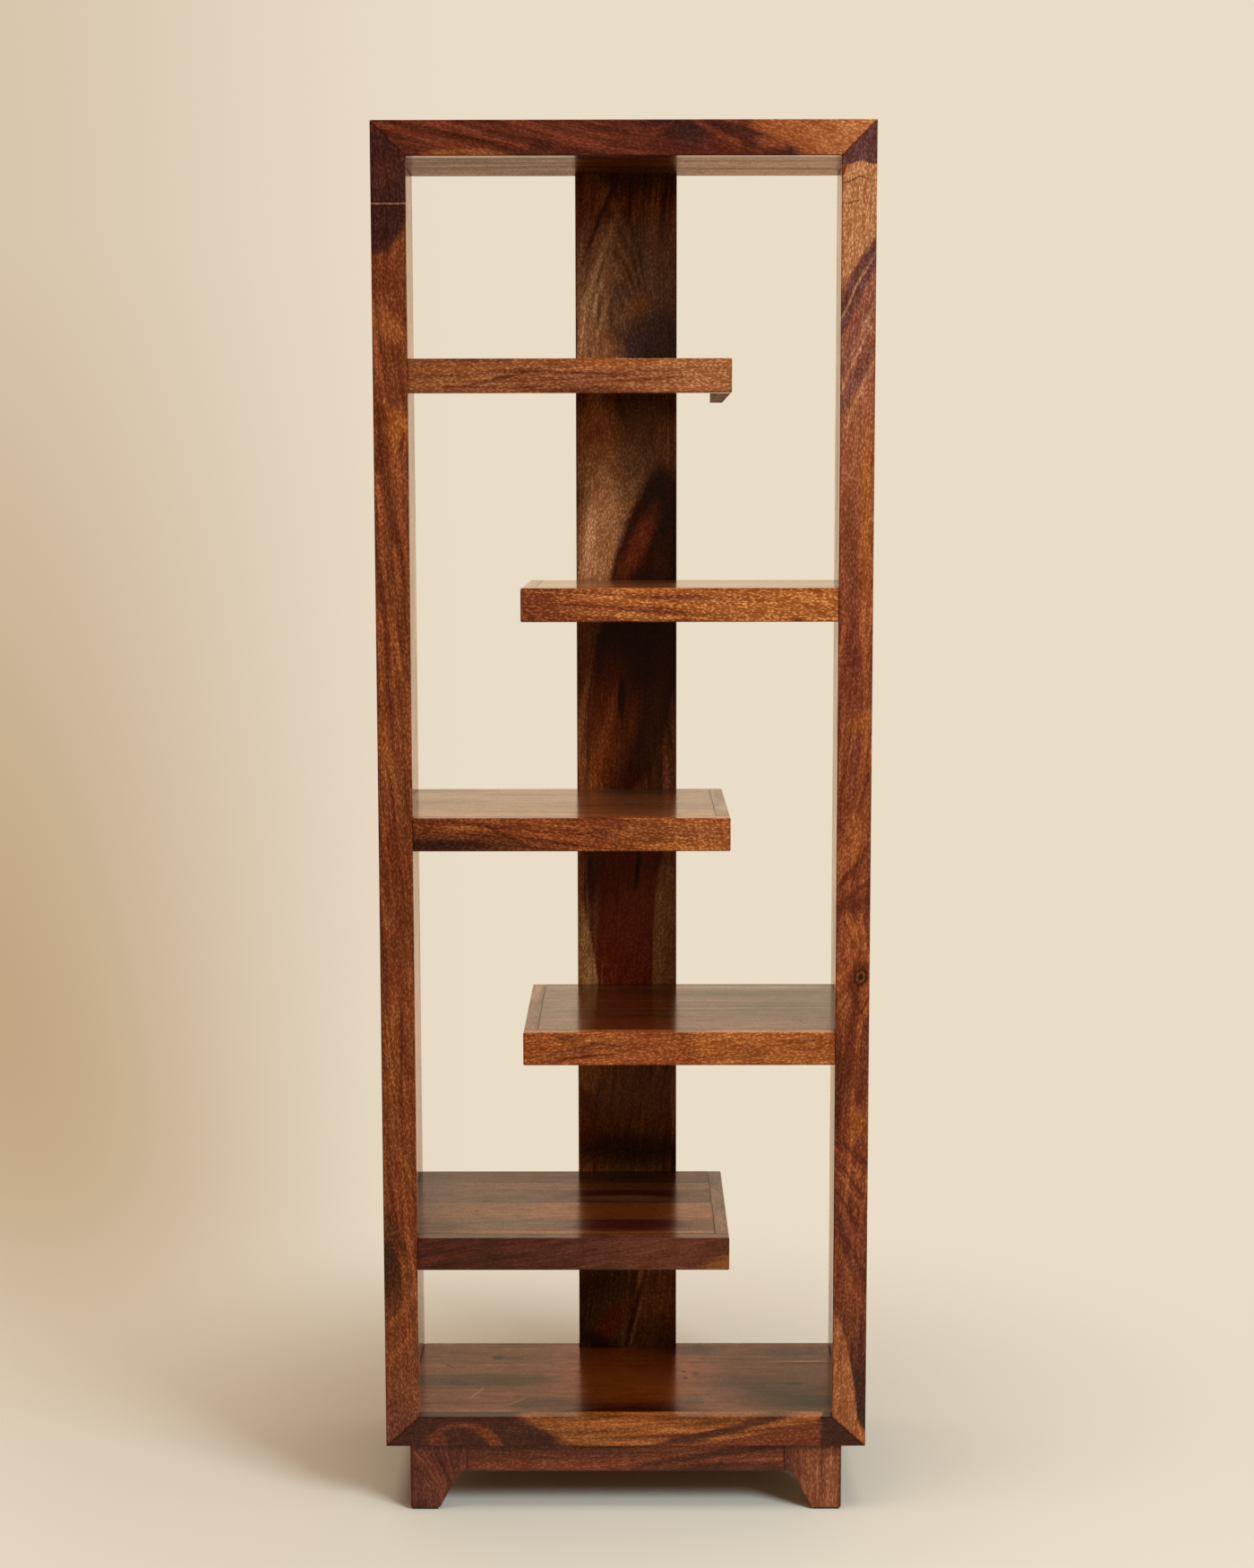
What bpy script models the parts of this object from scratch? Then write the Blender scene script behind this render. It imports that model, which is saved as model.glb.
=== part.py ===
"""Tall open shelving unit of lacquered sheesham, in metres, +Z up.

The front faces -Y and the origin is on the floor, under the middle of the unit. A mitred face frame is
glued to the front of a carcass of four boards. A plank stands between the bottom and the top at the back,
and five shelves reach past it from alternate sides. The unit stands on a base with bracket feet.
"""

import math

import bmesh
import bpy
from mathutils import Matrix, Vector

# Overall size; the height follows from the base, the boards and the bays
WIDTH = 0.632
DEPTH = 0.350
# Clear height of each bay, from the lowest one up
BAY_HEIGHTS = (0.219, 0.230, 0.237, 0.251, 0.245, 0.268)

# Space left for glue between pieces that touch, and the chamfer on edges that a hand can reach
GLUE_LINE = 0.0003
ARRIS = 0.0012

# Face frame, with a loose spline hidden across each mitre
FRAME_DEPTH = 0.020
STILE_WIDTH = 0.044
TOP_RAIL_HEIGHT = 0.044
BOTTOM_RAIL_HEIGHT = 0.040
SPLINE_LENGTH = 0.030
SPLINE_WIDTH = 0.022
SPLINE_THICKNESS = 0.004

# Carcass boards; the top, the bottom and the shelves have tongues in the sides, which stop short of
# the front and the back
SIDE_THICKNESS = 0.022
TOP_THICKNESS = 0.025
BOTTOM_THICKNESS = 0.020
TONGUE_LENGTH = 0.008
TONGUE_SHOULDER = 0.005
TONGUE_STOP = 0.012

# Back plank, whose ends are let into the back of the top and of the bottom
PLANK_WIDTH = 0.140
PLANK_THICKNESS = 0.020
PLANK_CENTRE_X = 0.002
PLANK_LET_IN = 0.008

# Shelves: a panel with a deeper lipping along the front and a deeper rail across the free end
SHELF_THICKNESS = 0.022
LIPPING_HEIGHT = 0.043
END_RAIL_WIDTH = 0.018
SHELF_PAST_PLANK = 0.064

# Countersunk screws through the plank into the shelves
SCREW_HEAD_RADIUS = 0.004
SCREW_HEAD_HEIGHT = 0.003
SCREW_SHANK_RADIUS = 0.002
SCREW_POINT = 0.004
SCREW_SIDES = 10
SCREW_BITE = 0.025
SCREW_MARGIN = 0.040
HOLE_PROUD = 0.003

# Base: aprons between bracket feet, whose inner edge slants out from the floor up to the apron
BASE_HEIGHT = 0.090
BASE_BOARD = 0.020
BASE_SIDE_INSET = 0.031
BASE_FRONT_INSET = 0.008
BASE_BACK_INSET = 0.008
APRON_HEIGHT = 0.037
APRON_TENON_LENGTH = 0.010
APRON_TENON_SHOULDER = 0.007
APRON_TENON_CHEEK = 0.006
FOOT_WIDTH_AT_FLOOR = 0.038
FOOT_WIDTH_AT_APRON = 0.066
FOOT_FILLET = 0.012
FOOT_FILLET_STEPS = 5
FOOT_SHOULDER = 0.002

# Glue blocks inside the corners of the base, and glides under them
BLOCK_WIDTH = 0.030
BLOCK_HEIGHT = 0.034
GLIDE_THICKNESS = 0.002
GLIDE_INSET = 0.002

# How far a tenon reaches back into its own piece, so that the two join
TENON_ROOT = 0.004

# Places that follow from the sizes
FRONT = -DEPTH / 2
BACK = DEPTH / 2
SIDE = WIDTH / 2
SIDE_INNER = SIDE - SIDE_THICKNESS
BOARD_END = SIDE_INNER - GLUE_LINE
STILE_INNER = SIDE - STILE_WIDTH
FRAME_BACK = FRONT + FRAME_DEPTH
CARCASS_FRONT = FRAME_BACK + GLUE_LINE
PLANK_FRONT = BACK - PLANK_THICKNESS
SHELF_BACK = PLANK_FRONT - GLUE_LINE
BOTTOM_TOP = BASE_HEIGHT + BOTTOM_THICKNESS
SHELF_COUNT = len(BAY_HEIGHTS) - 1
TOP_UNDERSIDE = BOTTOM_TOP + sum(BAY_HEIGHTS) + SHELF_COUNT * LIPPING_HEIGHT
HEIGHT = TOP_UNDERSIDE + TOP_THICKNESS
BASE_HALF_WIDTH = SIDE - BASE_SIDE_INSET
BASE_FRONT = FRONT + BASE_FRONT_INSET
BASE_BACK = BACK - BASE_BACK_INSET
BASE_TOP = BASE_HEIGHT - GLUE_LINE
FOOT_BOTTOM = GLIDE_THICKNESS + GLUE_LINE
APRON_BOTTOM = BASE_HEIGHT - APRON_HEIGHT
MITRE_DRAWN_IN = GLUE_LINE / math.sqrt(2)

LEFT = Vector((-1, 0, 0))
RIGHT = Vector((1, 0, 0))
TO_FRONT = Vector((0, -1, 0))
TO_BACK = Vector((0, 1, 0))
UP = Vector((0, 0, 1))
DOWN = Vector((0, 0, -1))
EVERY_WAY = (LEFT, RIGHT, TO_FRONT, TO_BACK, UP, DOWN)

# Turns a flat outline up, so that its own Z points to the front
UPRIGHT = Matrix.Rotation(math.pi / 2, 4, "X")

# Edges sharper than this are eased; half of it is how far a face may turn from the way it is said to face
LEAST_ARRIS_ANGLE = math.radians(30)
SAME_WAY = math.cos(LEAST_ARRIS_ANGLE / 2)


# Materials

def linear(channel):
    """One sRGB channel, 0 to 255, as linear light."""
    value = channel / 255
    return value / 12.92 if value <= 0.04045 else ((value + 0.055) / 1.055) ** 2.4


def material(name, rgb, roughness, metallic=0.0):
    made = bpy.data.materials.new(name)
    made.use_nodes = True
    shader = made.node_tree.nodes["Principled BSDF"]
    shader.inputs["Base Color"].default_value = [*map(linear, rgb), 1.0]
    shader.inputs["Roughness"].default_value = roughness
    shader.inputs["Metallic"].default_value = metallic
    return made


# Shapes

def linked(name, shape, place, surface=None):
    """The bmesh as an object of the scene at its place."""
    bmesh.ops.recalc_face_normals(shape, faces=shape.faces)
    mesh = bpy.data.meshes.new(name)
    shape.to_mesh(mesh)
    shape.free()
    if surface:
        mesh.materials.append(surface)
    made = bpy.data.objects.new(name, mesh)
    made.matrix_world = place
    bpy.context.scene.collection.objects.link(made)
    return made


def eased(name, shape, place, surface, glued):
    """The bmesh as an object whose edges have the chamfer, but for those of faces that are glued."""
    bmesh.ops.recalc_face_normals(shape, faces=shape.faces)
    weight = shape.edges.layers.float.new("bevel_weight_edge")
    turn = place.to_3x3()
    for edge in shape.edges:
        hidden = any((turn @ face.normal).dot(way) > SAME_WAY for face in edge.link_faces for way in glued)
        sharp = edge.calc_face_angle() > LEAST_ARRIS_ANGLE
        edge[weight] = 1.0 if sharp and not hidden else 0.0
    made = linked(name, shape, place, surface)
    chamfer = made.modifiers.new("Arris", "BEVEL")
    chamfer.limit_method = "WEIGHT"
    chamfer.width = ARRIS
    chamfer.segments = 1
    return made


def add_box(shape, low, high):
    """Adds a box between two opposite corners to the bmesh."""
    made = bmesh.ops.create_cube(shape, size=1.0)["verts"]
    bmesh.ops.scale(shape, vec=high - low, verts=made)
    bmesh.ops.translate(shape, vec=(low + high) / 2, verts=made)


def board(name, low, high, surface, glued=()):
    """A rectangular board between two opposite corners."""
    low = Vector(low)
    high = Vector(high)
    half = (high - low) / 2
    shape = bmesh.new()
    add_box(shape, -half, half)
    return eased(name, shape, Matrix.Translation(low + half), surface, glued)


def prism(name, outline, thickness, place, surface, glued=(), mitred_u=None):
    """An outline in the local XY plane, extruded along local Z by the thickness.

    With mitred_u, the outline's points at that u are drawn in by the thickness on the local Z = 0 side,
    towards the rest of the outline, which makes a mitre of 45 degrees there.
    """
    shape = bmesh.new()
    face = shape.faces.new([shape.verts.new((u, v, 0.0)) for u, v in outline])
    grown = bmesh.ops.extrude_face_region(shape, geom=[face])["geom"]
    far_side = [item for item in grown if isinstance(item, bmesh.types.BMVert)]
    bmesh.ops.translate(shape, vec=(0, 0, thickness), verts=far_side)
    if mitred_u is not None:
        middle_u = sum(u for u, _ in outline) / len(outline)
        inward = math.copysign(thickness, middle_u - mitred_u)
        for vert in shape.verts:
            if vert not in far_side and abs(vert.co.x - mitred_u) < GLUE_LINE:
                vert.co.x += inward
    return eased(name, shape, place, surface, glued)


def add_turned(shape, profile, sides, place):
    """Adds a closed turned body to the bmesh, from a profile of (radius, height) points."""
    rings = []
    for radius, height in profile:
        steps = 1 if radius == 0 else sides
        angles = [2 * math.pi * step / sides for step in range(steps)]
        points = [(radius * math.cos(angle), radius * math.sin(angle), height) for angle in angles]
        rings.append([shape.verts.new(place @ Vector(point)) for point in points])
    for ring, following in zip(rings, rings[1:]):
        for step in range(sides):
            corners = [
                ring[step % len(ring)],
                ring[(step + 1) % len(ring)],
                following[(step + 1) % len(following)],
                following[step % len(following)],
            ]
            shape.faces.new(dict.fromkeys(corners))
    for ring in (rings[0], rings[-1]):
        if len(ring) > 1:
            shape.faces.new(ring)


def laid(point, way):
    """The place of a turned piece whose axis passes through the point along the way."""
    return Matrix.Translation(point) @ way.to_track_quat("Z", "Y").to_matrix().to_4x4()


# Joinery

def as_tool(made):
    """Marks an object that only shapes others."""
    made.hide_render = True
    made.display_type = "WIRE"
    return made


def combine(made, other, operation):
    step = made.modifiers.new(operation.capitalize() + " " + other.name, "BOOLEAN")
    step.operation = operation
    step.solver = "EXACT"
    step.object = other


def box_tool(name, low, high, place=Matrix.Identity(4), room=0.0):
    """A box that shapes another piece, grown by the room on every side."""
    margin = Vector((room, room, room))
    shape = bmesh.new()
    add_box(shape, Vector(low) - margin, Vector(high) + margin)
    return as_tool(linked(name, shape, place))


def tenon(name, low, high, root, piece, mortised, place=Matrix.Identity(4)):
    """A tenon on one piece, rooted in it by the root vector, and its mortise in the other piece."""
    rooted_low = [min(value, value + reach) for value, reach in zip(low, root)]
    rooted_high = [max(value, value + reach) for value, reach in zip(high, root)]
    combine(piece, box_tool(name + "_tenon", rooted_low, rooted_high, place), "UNION")
    combine(mortised, box_tool(name + "_mortise", low, high, place, GLUE_LINE), "DIFFERENCE")


def tongue(name, low, high, way, piece, side):
    """A tongue on that end of a board, between its two corners, which faces the given way."""
    end = high[0] if way == RIGHT else low[0]
    x_low, x_high = sorted((end, end + way.x * TONGUE_LENGTH))
    tongue_low = (x_low, low[1] + TONGUE_STOP, low[2] + TONGUE_SHOULDER)
    tongue_high = (x_high, high[1] - TONGUE_STOP, high[2] - TONGUE_SHOULDER)
    tenon(name, tongue_low, tongue_high, -way * TENON_ROOT, piece, side)


# Face frame

def frame_corners():
    """Outer and inner point of each mitre, seen from the front, as (x, z)."""
    low = (BASE_HEIGHT, BASE_HEIGHT + BOTTOM_RAIL_HEIGHT)
    high = (HEIGHT, HEIGHT - TOP_RAIL_HEIGHT)
    return {
        (level_name, side_name): ((sign * SIDE, z_outer), (sign * STILE_INNER, z_inner))
        for level_name, (z_outer, z_inner) in (("bottom", low), ("top", high))
        for side_name, sign in (("left", -1), ("right", 1))
    }


def mitre_normal(corner, way):
    """The normal of the mitre at a corner, on the side that the way points to."""
    (x_outer, z_outer), (x_inner, z_inner) = corner
    normal = Vector((z_inner - z_outer, 0, x_outer - x_inner)).normalized()
    return normal if normal.dot(way) > 0 else -normal


def frame_piece(name, start, end, way, surface):
    """A frame piece that runs the given way from one corner to the other."""
    drawn_in = way * MITRE_DRAWN_IN
    outline = [(x + drawn_in.x, z + drawn_in.z) for x, z in start]
    outline += [(x - drawn_in.x, z - drawn_in.z) for x, z in reversed(end)]
    place = Matrix.Translation((0, FRAME_BACK, 0)) @ UPRIGHT
    glued = [TO_BACK, mitre_normal(start, -way), mitre_normal(end, way)]
    return prism(name, outline, FRAME_DEPTH, place, surface, glued)


def frame_spline(level_name, side_name, corner, surface):
    """A loose spline across one mitre, and the tool for its two blind slots."""
    (x_outer, z_outer), (x_inner, z_inner) = corner
    middle = ((x_outer + x_inner) / 2, FRONT + FRAME_DEPTH / 2, (z_outer + z_inner) / 2)
    slope = math.atan2(z_inner - z_outer, x_inner - x_outer)
    place = Matrix.Translation(middle) @ Matrix.Rotation(-slope, 4, "Y")
    half = Vector((SPLINE_LENGTH, SPLINE_THICKNESS, SPLINE_WIDTH)) / 2
    name = f"frame_spline_{level_name}_{side_name}"
    shape = bmesh.new()
    add_box(shape, -half, half)
    linked(name, shape, place, surface)
    return box_tool(name + "_slot", -half, half, place, GLUE_LINE)


def face_frame(surface, spline_surface):
    corners = frame_corners()
    runs = (
        ("frame_left_stile", ("bottom", "left"), ("top", "left"), UP),
        ("frame_right_stile", ("bottom", "right"), ("top", "right"), UP),
        ("frame_bottom_rail", ("bottom", "left"), ("bottom", "right"), RIGHT),
        ("frame_top_rail", ("top", "left"), ("top", "right"), RIGHT),
    )
    slots = {key: frame_spline(*key, corner, spline_surface) for key, corner in corners.items()}
    for name, start, end, way in runs:
        piece = frame_piece(name, corners[start], corners[end], way, surface)
        for key in (start, end):
            combine(piece, slots[key], "DIFFERENCE")


# Carcass and plank

def carcass(surface):
    """Two sides, with the bottom and the top tongued between them. The back is open."""
    sides = {}
    for name, outward in (("left", LEFT), ("right", RIGHT)):
        x_low, x_high = sorted((outward.x * SIDE, outward.x * SIDE_INNER))
        low = (x_low, CARCASS_FRONT, BASE_HEIGHT)
        high = (x_high, BACK, HEIGHT)
        sides[name] = board(name + "_side_panel", low, high, surface, [TO_FRONT])
    levels = {}
    for name, z_low, z_high in (("bottom", BASE_HEIGHT, BOTTOM_TOP), ("top", TOP_UNDERSIDE, HEIGHT)):
        low = (-BOARD_END, CARCASS_FRONT, z_low)
        high = (BOARD_END, BACK, z_high)
        levels[name] = board(name + "_panel", low, high, surface, [TO_FRONT, LEFT, RIGHT])
        for side_name, outward in (("left", LEFT), ("right", RIGHT)):
            tongue(f"{name}_{side_name}", low, high, outward, levels[name], sides[side_name])
    return sides, levels


def back_plank(levels, surface):
    """The plank that the shelves are screwed to, in notches in the back of the bottom and the top."""
    half_width = PLANK_WIDTH / 2
    low = (PLANK_CENTRE_X - half_width, PLANK_FRONT, BOTTOM_TOP - PLANK_LET_IN)
    high = (PLANK_CENTRE_X + half_width, BACK, TOP_UNDERSIDE + PLANK_LET_IN)
    plank = board("back_plank", low, high, surface, [UP, DOWN])
    notch = box_tool("plank_notch", low, high, room=GLUE_LINE)
    for level in levels.values():
        combine(level, notch, "DIFFERENCE")
    return plank


# Shelves

def shelf_tops():
    """The height of each shelf's top, from the highest shelf down."""
    tops = []
    z = BOTTOM_TOP
    for bay in BAY_HEIGHTS[:-1]:
        z += bay + LIPPING_HEIGHT
        tops.append(z)
    return tops[::-1]


def shelf(name, z_top, held, side, lipping_surface, panel_surface):
    """A shelf whose panel has its tongue in the side that it is held by. Returns the panel."""
    free_end = PLANK_CENTRE_X - held.x * (PLANK_WIDTH / 2 + SHELF_PAST_PLANK)
    rail_inner = free_end + held.x * END_RAIL_WIDTH
    z_low = z_top - LIPPING_HEIGHT

    x_low, x_high = sorted((held.x * (STILE_INNER - GLUE_LINE), free_end))
    low = (x_low, FRONT, z_low)
    high = (x_high, FRAME_BACK, z_top)
    board(name + "_front_lipping", low, high, lipping_surface, [held, TO_BACK])

    x_low, x_high = sorted((rail_inner, free_end))
    low = (x_low, CARCASS_FRONT, z_low)
    high = (x_high, SHELF_BACK, z_top)
    board(name + "_end_rail", low, high, lipping_surface, [held, TO_FRONT])

    x_low, x_high = sorted((held.x * BOARD_END, rail_inner + held.x * GLUE_LINE))
    low = (x_low, CARCASS_FRONT, z_top - SHELF_THICKNESS)
    high = (x_high, SHELF_BACK, z_top)
    panel = board(name + "_panel", low, high, panel_surface, [LEFT, RIGHT, TO_FRONT])
    tongue(name, low, high, held, panel, side)
    return panel


def screw(name, head, surface):
    """A countersunk screw with its head in the back of the plank. Returns the tool for its hole."""
    length = PLANK_THICKNESS + SCREW_BITE
    place = laid(head, TO_BACK)
    profile = (
        (SCREW_HEAD_RADIUS, 0.0),
        (SCREW_SHANK_RADIUS, -SCREW_HEAD_HEIGHT),
        (SCREW_SHANK_RADIUS, SCREW_POINT - length),
        (0.0, -length),
    )
    shape = bmesh.new()
    add_turned(shape, profile, SCREW_SIDES, place)
    made = linked(name, shape, Matrix.Identity(4), surface)
    made.data.shade_smooth()
    made.data.set_sharp_from_angle(angle=LEAST_ARRIS_ANGLE)

    room = (
        (SCREW_HEAD_RADIUS + GLUE_LINE, HOLE_PROUD),
        (SCREW_HEAD_RADIUS + GLUE_LINE, 0.0),
        (SCREW_SHANK_RADIUS + GLUE_LINE, -SCREW_HEAD_HEIGHT),
        (SCREW_SHANK_RADIUS + GLUE_LINE, -length - GLUE_LINE),
    )
    shape = bmesh.new()
    add_turned(shape, room, SCREW_SIDES, place)
    return as_tool(linked(name + "_hole", shape, Matrix.Identity(4)))


def shelves(sides, plank, lipping_surface, panel_surface, screw_surface):
    """Shelves held by the left and the right side by turns, each with two screws through the plank."""
    reach = PLANK_WIDTH / 2 - SCREW_MARGIN
    for index, z_top in enumerate(shelf_tops()):
        name = f"shelf_{index + 1}"
        side_name, held = ("right", RIGHT) if index % 2 else ("left", LEFT)
        panel = shelf(name, z_top, held, sides[side_name], lipping_surface, panel_surface)
        for place_name, way in (("left", LEFT), ("right", RIGHT)):
            head = (PLANK_CENTRE_X + way.x * reach, BACK, z_top - SHELF_THICKNESS / 2)
            hole = screw(f"{name}_screw_{place_name}", head, screw_surface)
            combine(panel, hole, "DIFFERENCE")
            combine(plank, hole, "DIFFERENCE")


# Base

def filleted(before, corner, after, radius, steps):
    """Points of an arc that rounds the corner between two straight edges."""
    before, corner, after = Vector(before), Vector(corner), Vector(after)
    back_way = (before - corner).normalized()
    on_way = (after - corner).normalized()
    half_angle = back_way.angle(on_way) / 2
    start = corner + back_way * radius / math.tan(half_angle)
    centre = corner + (back_way + on_way).normalized() * radius / math.sin(half_angle)
    swing = math.copysign(math.pi - 2 * half_angle, on_way.cross(back_way))
    turns = [Matrix.Rotation(swing * step / steps, 2) for step in range(steps + 1)]
    return [tuple(centre + turn @ (start - centre)) for turn in turns]


def foot_length():
    """From the corner of the base to the joint with the apron, just past the fillet."""
    lean = math.atan2(FOOT_WIDTH_AT_APRON - FOOT_WIDTH_AT_FLOOR, APRON_BOTTOM - FOOT_BOTTOM)
    fillet_run = FOOT_FILLET * math.tan((math.pi / 2 - lean) / 2)
    return FOOT_WIDTH_AT_APRON + fillet_run + FOOT_SHOULDER


def foot_outline():
    """A bracket foot seen from outside: its mitred corner is at u = 0, its joint with the apron far off."""
    at_floor = (FOOT_WIDTH_AT_FLOOR, FOOT_BOTTOM)
    at_apron = (FOOT_WIDTH_AT_APRON, APRON_BOTTOM)
    at_joint = (foot_length(), APRON_BOTTOM)
    return [
        (0.0, FOOT_BOTTOM),
        at_floor,
        *filleted(at_floor, at_apron, at_joint, FOOT_FILLET, FOOT_FILLET_STEPS),
        at_joint,
        (foot_length(), BASE_TOP),
        (0.0, BASE_TOP),
    ]


def base_side(side, angle, half_length, distance, feet, surface):
    """One side of the base: an apron, tenoned into a foot piece at each end.

    The side is laid out facing the front, at its distance from the middle of the base, and then turned
    about that middle by the angle.
    """
    turn = Matrix.Translation((0, (BASE_FRONT + BASE_BACK) / 2, 0)) @ Matrix.Rotation(angle, 4, "Z")
    place = turn @ Matrix.Translation((0, BASE_BOARD - distance, 0)) @ UPRIGHT
    outward = turn.to_3x3() @ TO_FRONT
    along = turn.to_3x3() @ RIGHT
    corner_u = half_length - MITRE_DRAWN_IN
    apron_end = corner_u - foot_length() - GLUE_LINE
    outline = [
        (-apron_end, APRON_BOTTOM),
        (apron_end, APRON_BOTTOM),
        (apron_end, BASE_TOP),
        (-apron_end, BASE_TOP),
    ]
    apron = prism(side + "_apron", outline, BASE_BOARD, place, surface, [UP, -outward, along, -along])
    for foot_name, sign in feet:
        outline = [(sign * (corner_u - u), z) for u, z in foot_outline()]
        mitre = (along * sign - outward).normalized()
        glued = [UP, -outward, along * -sign, mitre]
        foot = prism(foot_name, outline, BASE_BOARD, place, surface, glued, sign * corner_u)
        u_low, u_high = sorted((sign * apron_end, sign * (apron_end + APRON_TENON_LENGTH)))
        low = (u_low, APRON_TENON_CHEEK - distance, APRON_BOTTOM + APRON_TENON_SHOULDER)
        high = (u_high, BASE_BOARD - APRON_TENON_CHEEK - distance, BASE_TOP - APRON_TENON_SHOULDER)
        root = (-sign * TENON_ROOT, 0, 0)
        tenon(f"{side}_apron_{foot_name}", low, high, root, apron, foot, turn)


def base(surface):
    """Four sides, mitred where they meet at the corners."""
    half_depth = (BASE_BACK - BASE_FRONT) / 2
    quarter = math.pi / 2
    front = (("front_left_foot_face", -1), ("front_right_foot_face", 1))
    right = (("front_right_foot_return", -1), ("back_right_foot_return", 1))
    back = (("back_right_foot_face", -1), ("back_left_foot_face", 1))
    left = (("back_left_foot_return", -1), ("front_left_foot_return", 1))
    base_side("front", 0.0, BASE_HALF_WIDTH, half_depth, front, surface)
    base_side("right", quarter, half_depth, BASE_HALF_WIDTH, right, surface)
    base_side("back", 2 * quarter, BASE_HALF_WIDTH, half_depth, back, surface)
    base_side("left", 3 * quarter, half_depth, BASE_HALF_WIDTH, left, surface)


def corner_box(name, depth_way, side_way, near, far, z_low, z_high, surface, glued):
    """A box in a corner of the base, from near to far off both of its outer faces."""
    y_face = BASE_FRONT if depth_way == TO_FRONT else BASE_BACK
    y_low, y_high = sorted((y_face - depth_way.y * near, y_face - depth_way.y * far))
    x_low, x_high = sorted((side_way.x * (BASE_HALF_WIDTH - near), side_way.x * (BASE_HALF_WIDTH - far)))
    return board(name, (x_low, y_low, z_low), (x_high, y_high, z_high), surface, glued)


def corner_fittings(wood_surface, glide_surface):
    """A glue block inside each corner, up against the bottom, and a glide under each foot."""
    block_near = BASE_BOARD + GLUE_LINE
    block_far = block_near + BLOCK_WIDTH
    glide_far = FOOT_WIDTH_AT_FLOOR - GLIDE_INSET
    for depth_name, depth_way in (("front", TO_FRONT), ("back", TO_BACK)):
        for side_name, side_way in (("left", LEFT), ("right", RIGHT)):
            corner = f"{depth_name}_{side_name}"
            corner_box("glue_block_" + corner, depth_way, side_way, block_near, block_far,
                       BASE_TOP - BLOCK_HEIGHT, BASE_TOP, wood_surface, [UP, depth_way, side_way])
            corner_box("foot_glide_" + corner, depth_way, side_way, GLIDE_INSET, glide_far,
                       0.0, GLIDE_THICKNESS, glide_surface, EVERY_WAY)


def main():
    for old in list(bpy.data.objects):
        bpy.data.objects.remove(old)

    lipping_wood = material("lacquered_sheesham_lipping", (118, 62, 34), 0.28)
    panel_wood = material("lacquered_sheesham_panel", (128, 92, 62), 0.25)
    plank_wood = material("lacquered_sheesham_plank", (66, 36, 22), 0.25)
    base_wood = material("lacquered_sheesham_base", (104, 54, 34), 0.30)
    beech = material("beech", (205, 170, 120), 0.60)
    steel = material("zinc_plated_steel", (170, 168, 160), 0.35, 1.0)
    felt = material("dark_felt", (48, 34, 28), 0.95)

    face_frame(lipping_wood, beech)
    sides, levels = carcass(panel_wood)
    plank = back_plank(levels, plank_wood)
    shelves(sides, plank, lipping_wood, panel_wood, steel)
    base(base_wood)
    corner_fittings(beech, felt)
    print(f"unit {WIDTH:.3f} x {DEPTH:.3f} x {HEIGHT:.3f} m, shelf tops at",
          ", ".join(f"{z:.3f}" for z in shelf_tops()))


main()
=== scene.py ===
# %% [markdown]
# # A tall open shelving unit in lacquered sheesham
#
# The unit comes as a frame of 58 solids, one for each real piece of wood, steel or felt. This lesson dresses
# them: it eases their edges, gives every board its own timber figure under one clear lacquer, and sets up a
# plain studio around them. The solids are already the right shape, so nothing replaces them, and their meshes
# stay untouched.

# %% Load the frame
import math
from collections import namedtuple

import bpy
from mathutils import Matrix, Vector


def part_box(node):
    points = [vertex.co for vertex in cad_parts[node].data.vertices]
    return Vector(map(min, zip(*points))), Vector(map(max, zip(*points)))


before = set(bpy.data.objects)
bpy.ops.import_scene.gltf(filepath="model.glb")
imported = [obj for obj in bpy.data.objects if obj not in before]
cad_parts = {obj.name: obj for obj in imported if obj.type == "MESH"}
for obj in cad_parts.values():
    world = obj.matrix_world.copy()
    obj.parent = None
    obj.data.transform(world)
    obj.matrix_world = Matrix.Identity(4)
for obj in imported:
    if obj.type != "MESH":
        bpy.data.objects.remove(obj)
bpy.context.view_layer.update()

# %% [markdown]
# ## The camera
#
# A camera is described best by what it stands for: here a tall format seen from chest height, tipped down a
# little so that the base and the top both fit. The turns are made one after the other as matrices, because
# their order matters: first the roll about the line of sight, then the tilt, then the turn about the upright.

# %% Camera
LONG_SIDE_PIXELS = 1750
FOCAL_PIXELS = 2791.9
CAMERA_PLACE = (0.011, -3.355, 1.3289)
CAMERA_TILT_DOWN = math.radians(6.456)
CAMERA_TURN = math.radians(0.143)
CAMERA_ROLL = math.radians(-0.088)

camera = bpy.data.objects.new("camera", bpy.data.cameras.new("camera"))
bpy.context.scene.collection.objects.link(camera)
camera.data.lens = FOCAL_PIXELS / LONG_SIDE_PIXELS * camera.data.sensor_width
turn = Matrix.Rotation(CAMERA_TURN, 4, "Z")
tilt = Matrix.Rotation(math.pi / 2 - CAMERA_TILT_DOWN, 4, "X")
roll = Matrix.Rotation(CAMERA_ROLL, 4, "Z")
camera.matrix_world = Matrix.Translation(CAMERA_PLACE) @ turn @ tilt @ roll
bpy.context.scene.camera = camera
print(f"camera: {camera.data.lens:.1f} mm lens")

# %% [markdown]
# ## Colours and nodes
#
# Colours are written as they would be picked off a screen, in sRGB hex, and one function turns them into the
# linear light that shaders count in. One more function adds any node: it sets the node's own settings, and
# each input gets either a value or a link from another node's output.

# %% Helpers for colours and nodes
def linear(code):
    """An sRGB hex colour such as "#A4632F" as linear RGBA."""
    channels = [int(code[place:place + 2], 16) / 255 for place in (1, 3, 5)]
    return [c / 12.92 if c <= 0.04045 else ((c + 0.055) / 1.055) ** 2.4 for c in channels] + [1.0]


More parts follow.
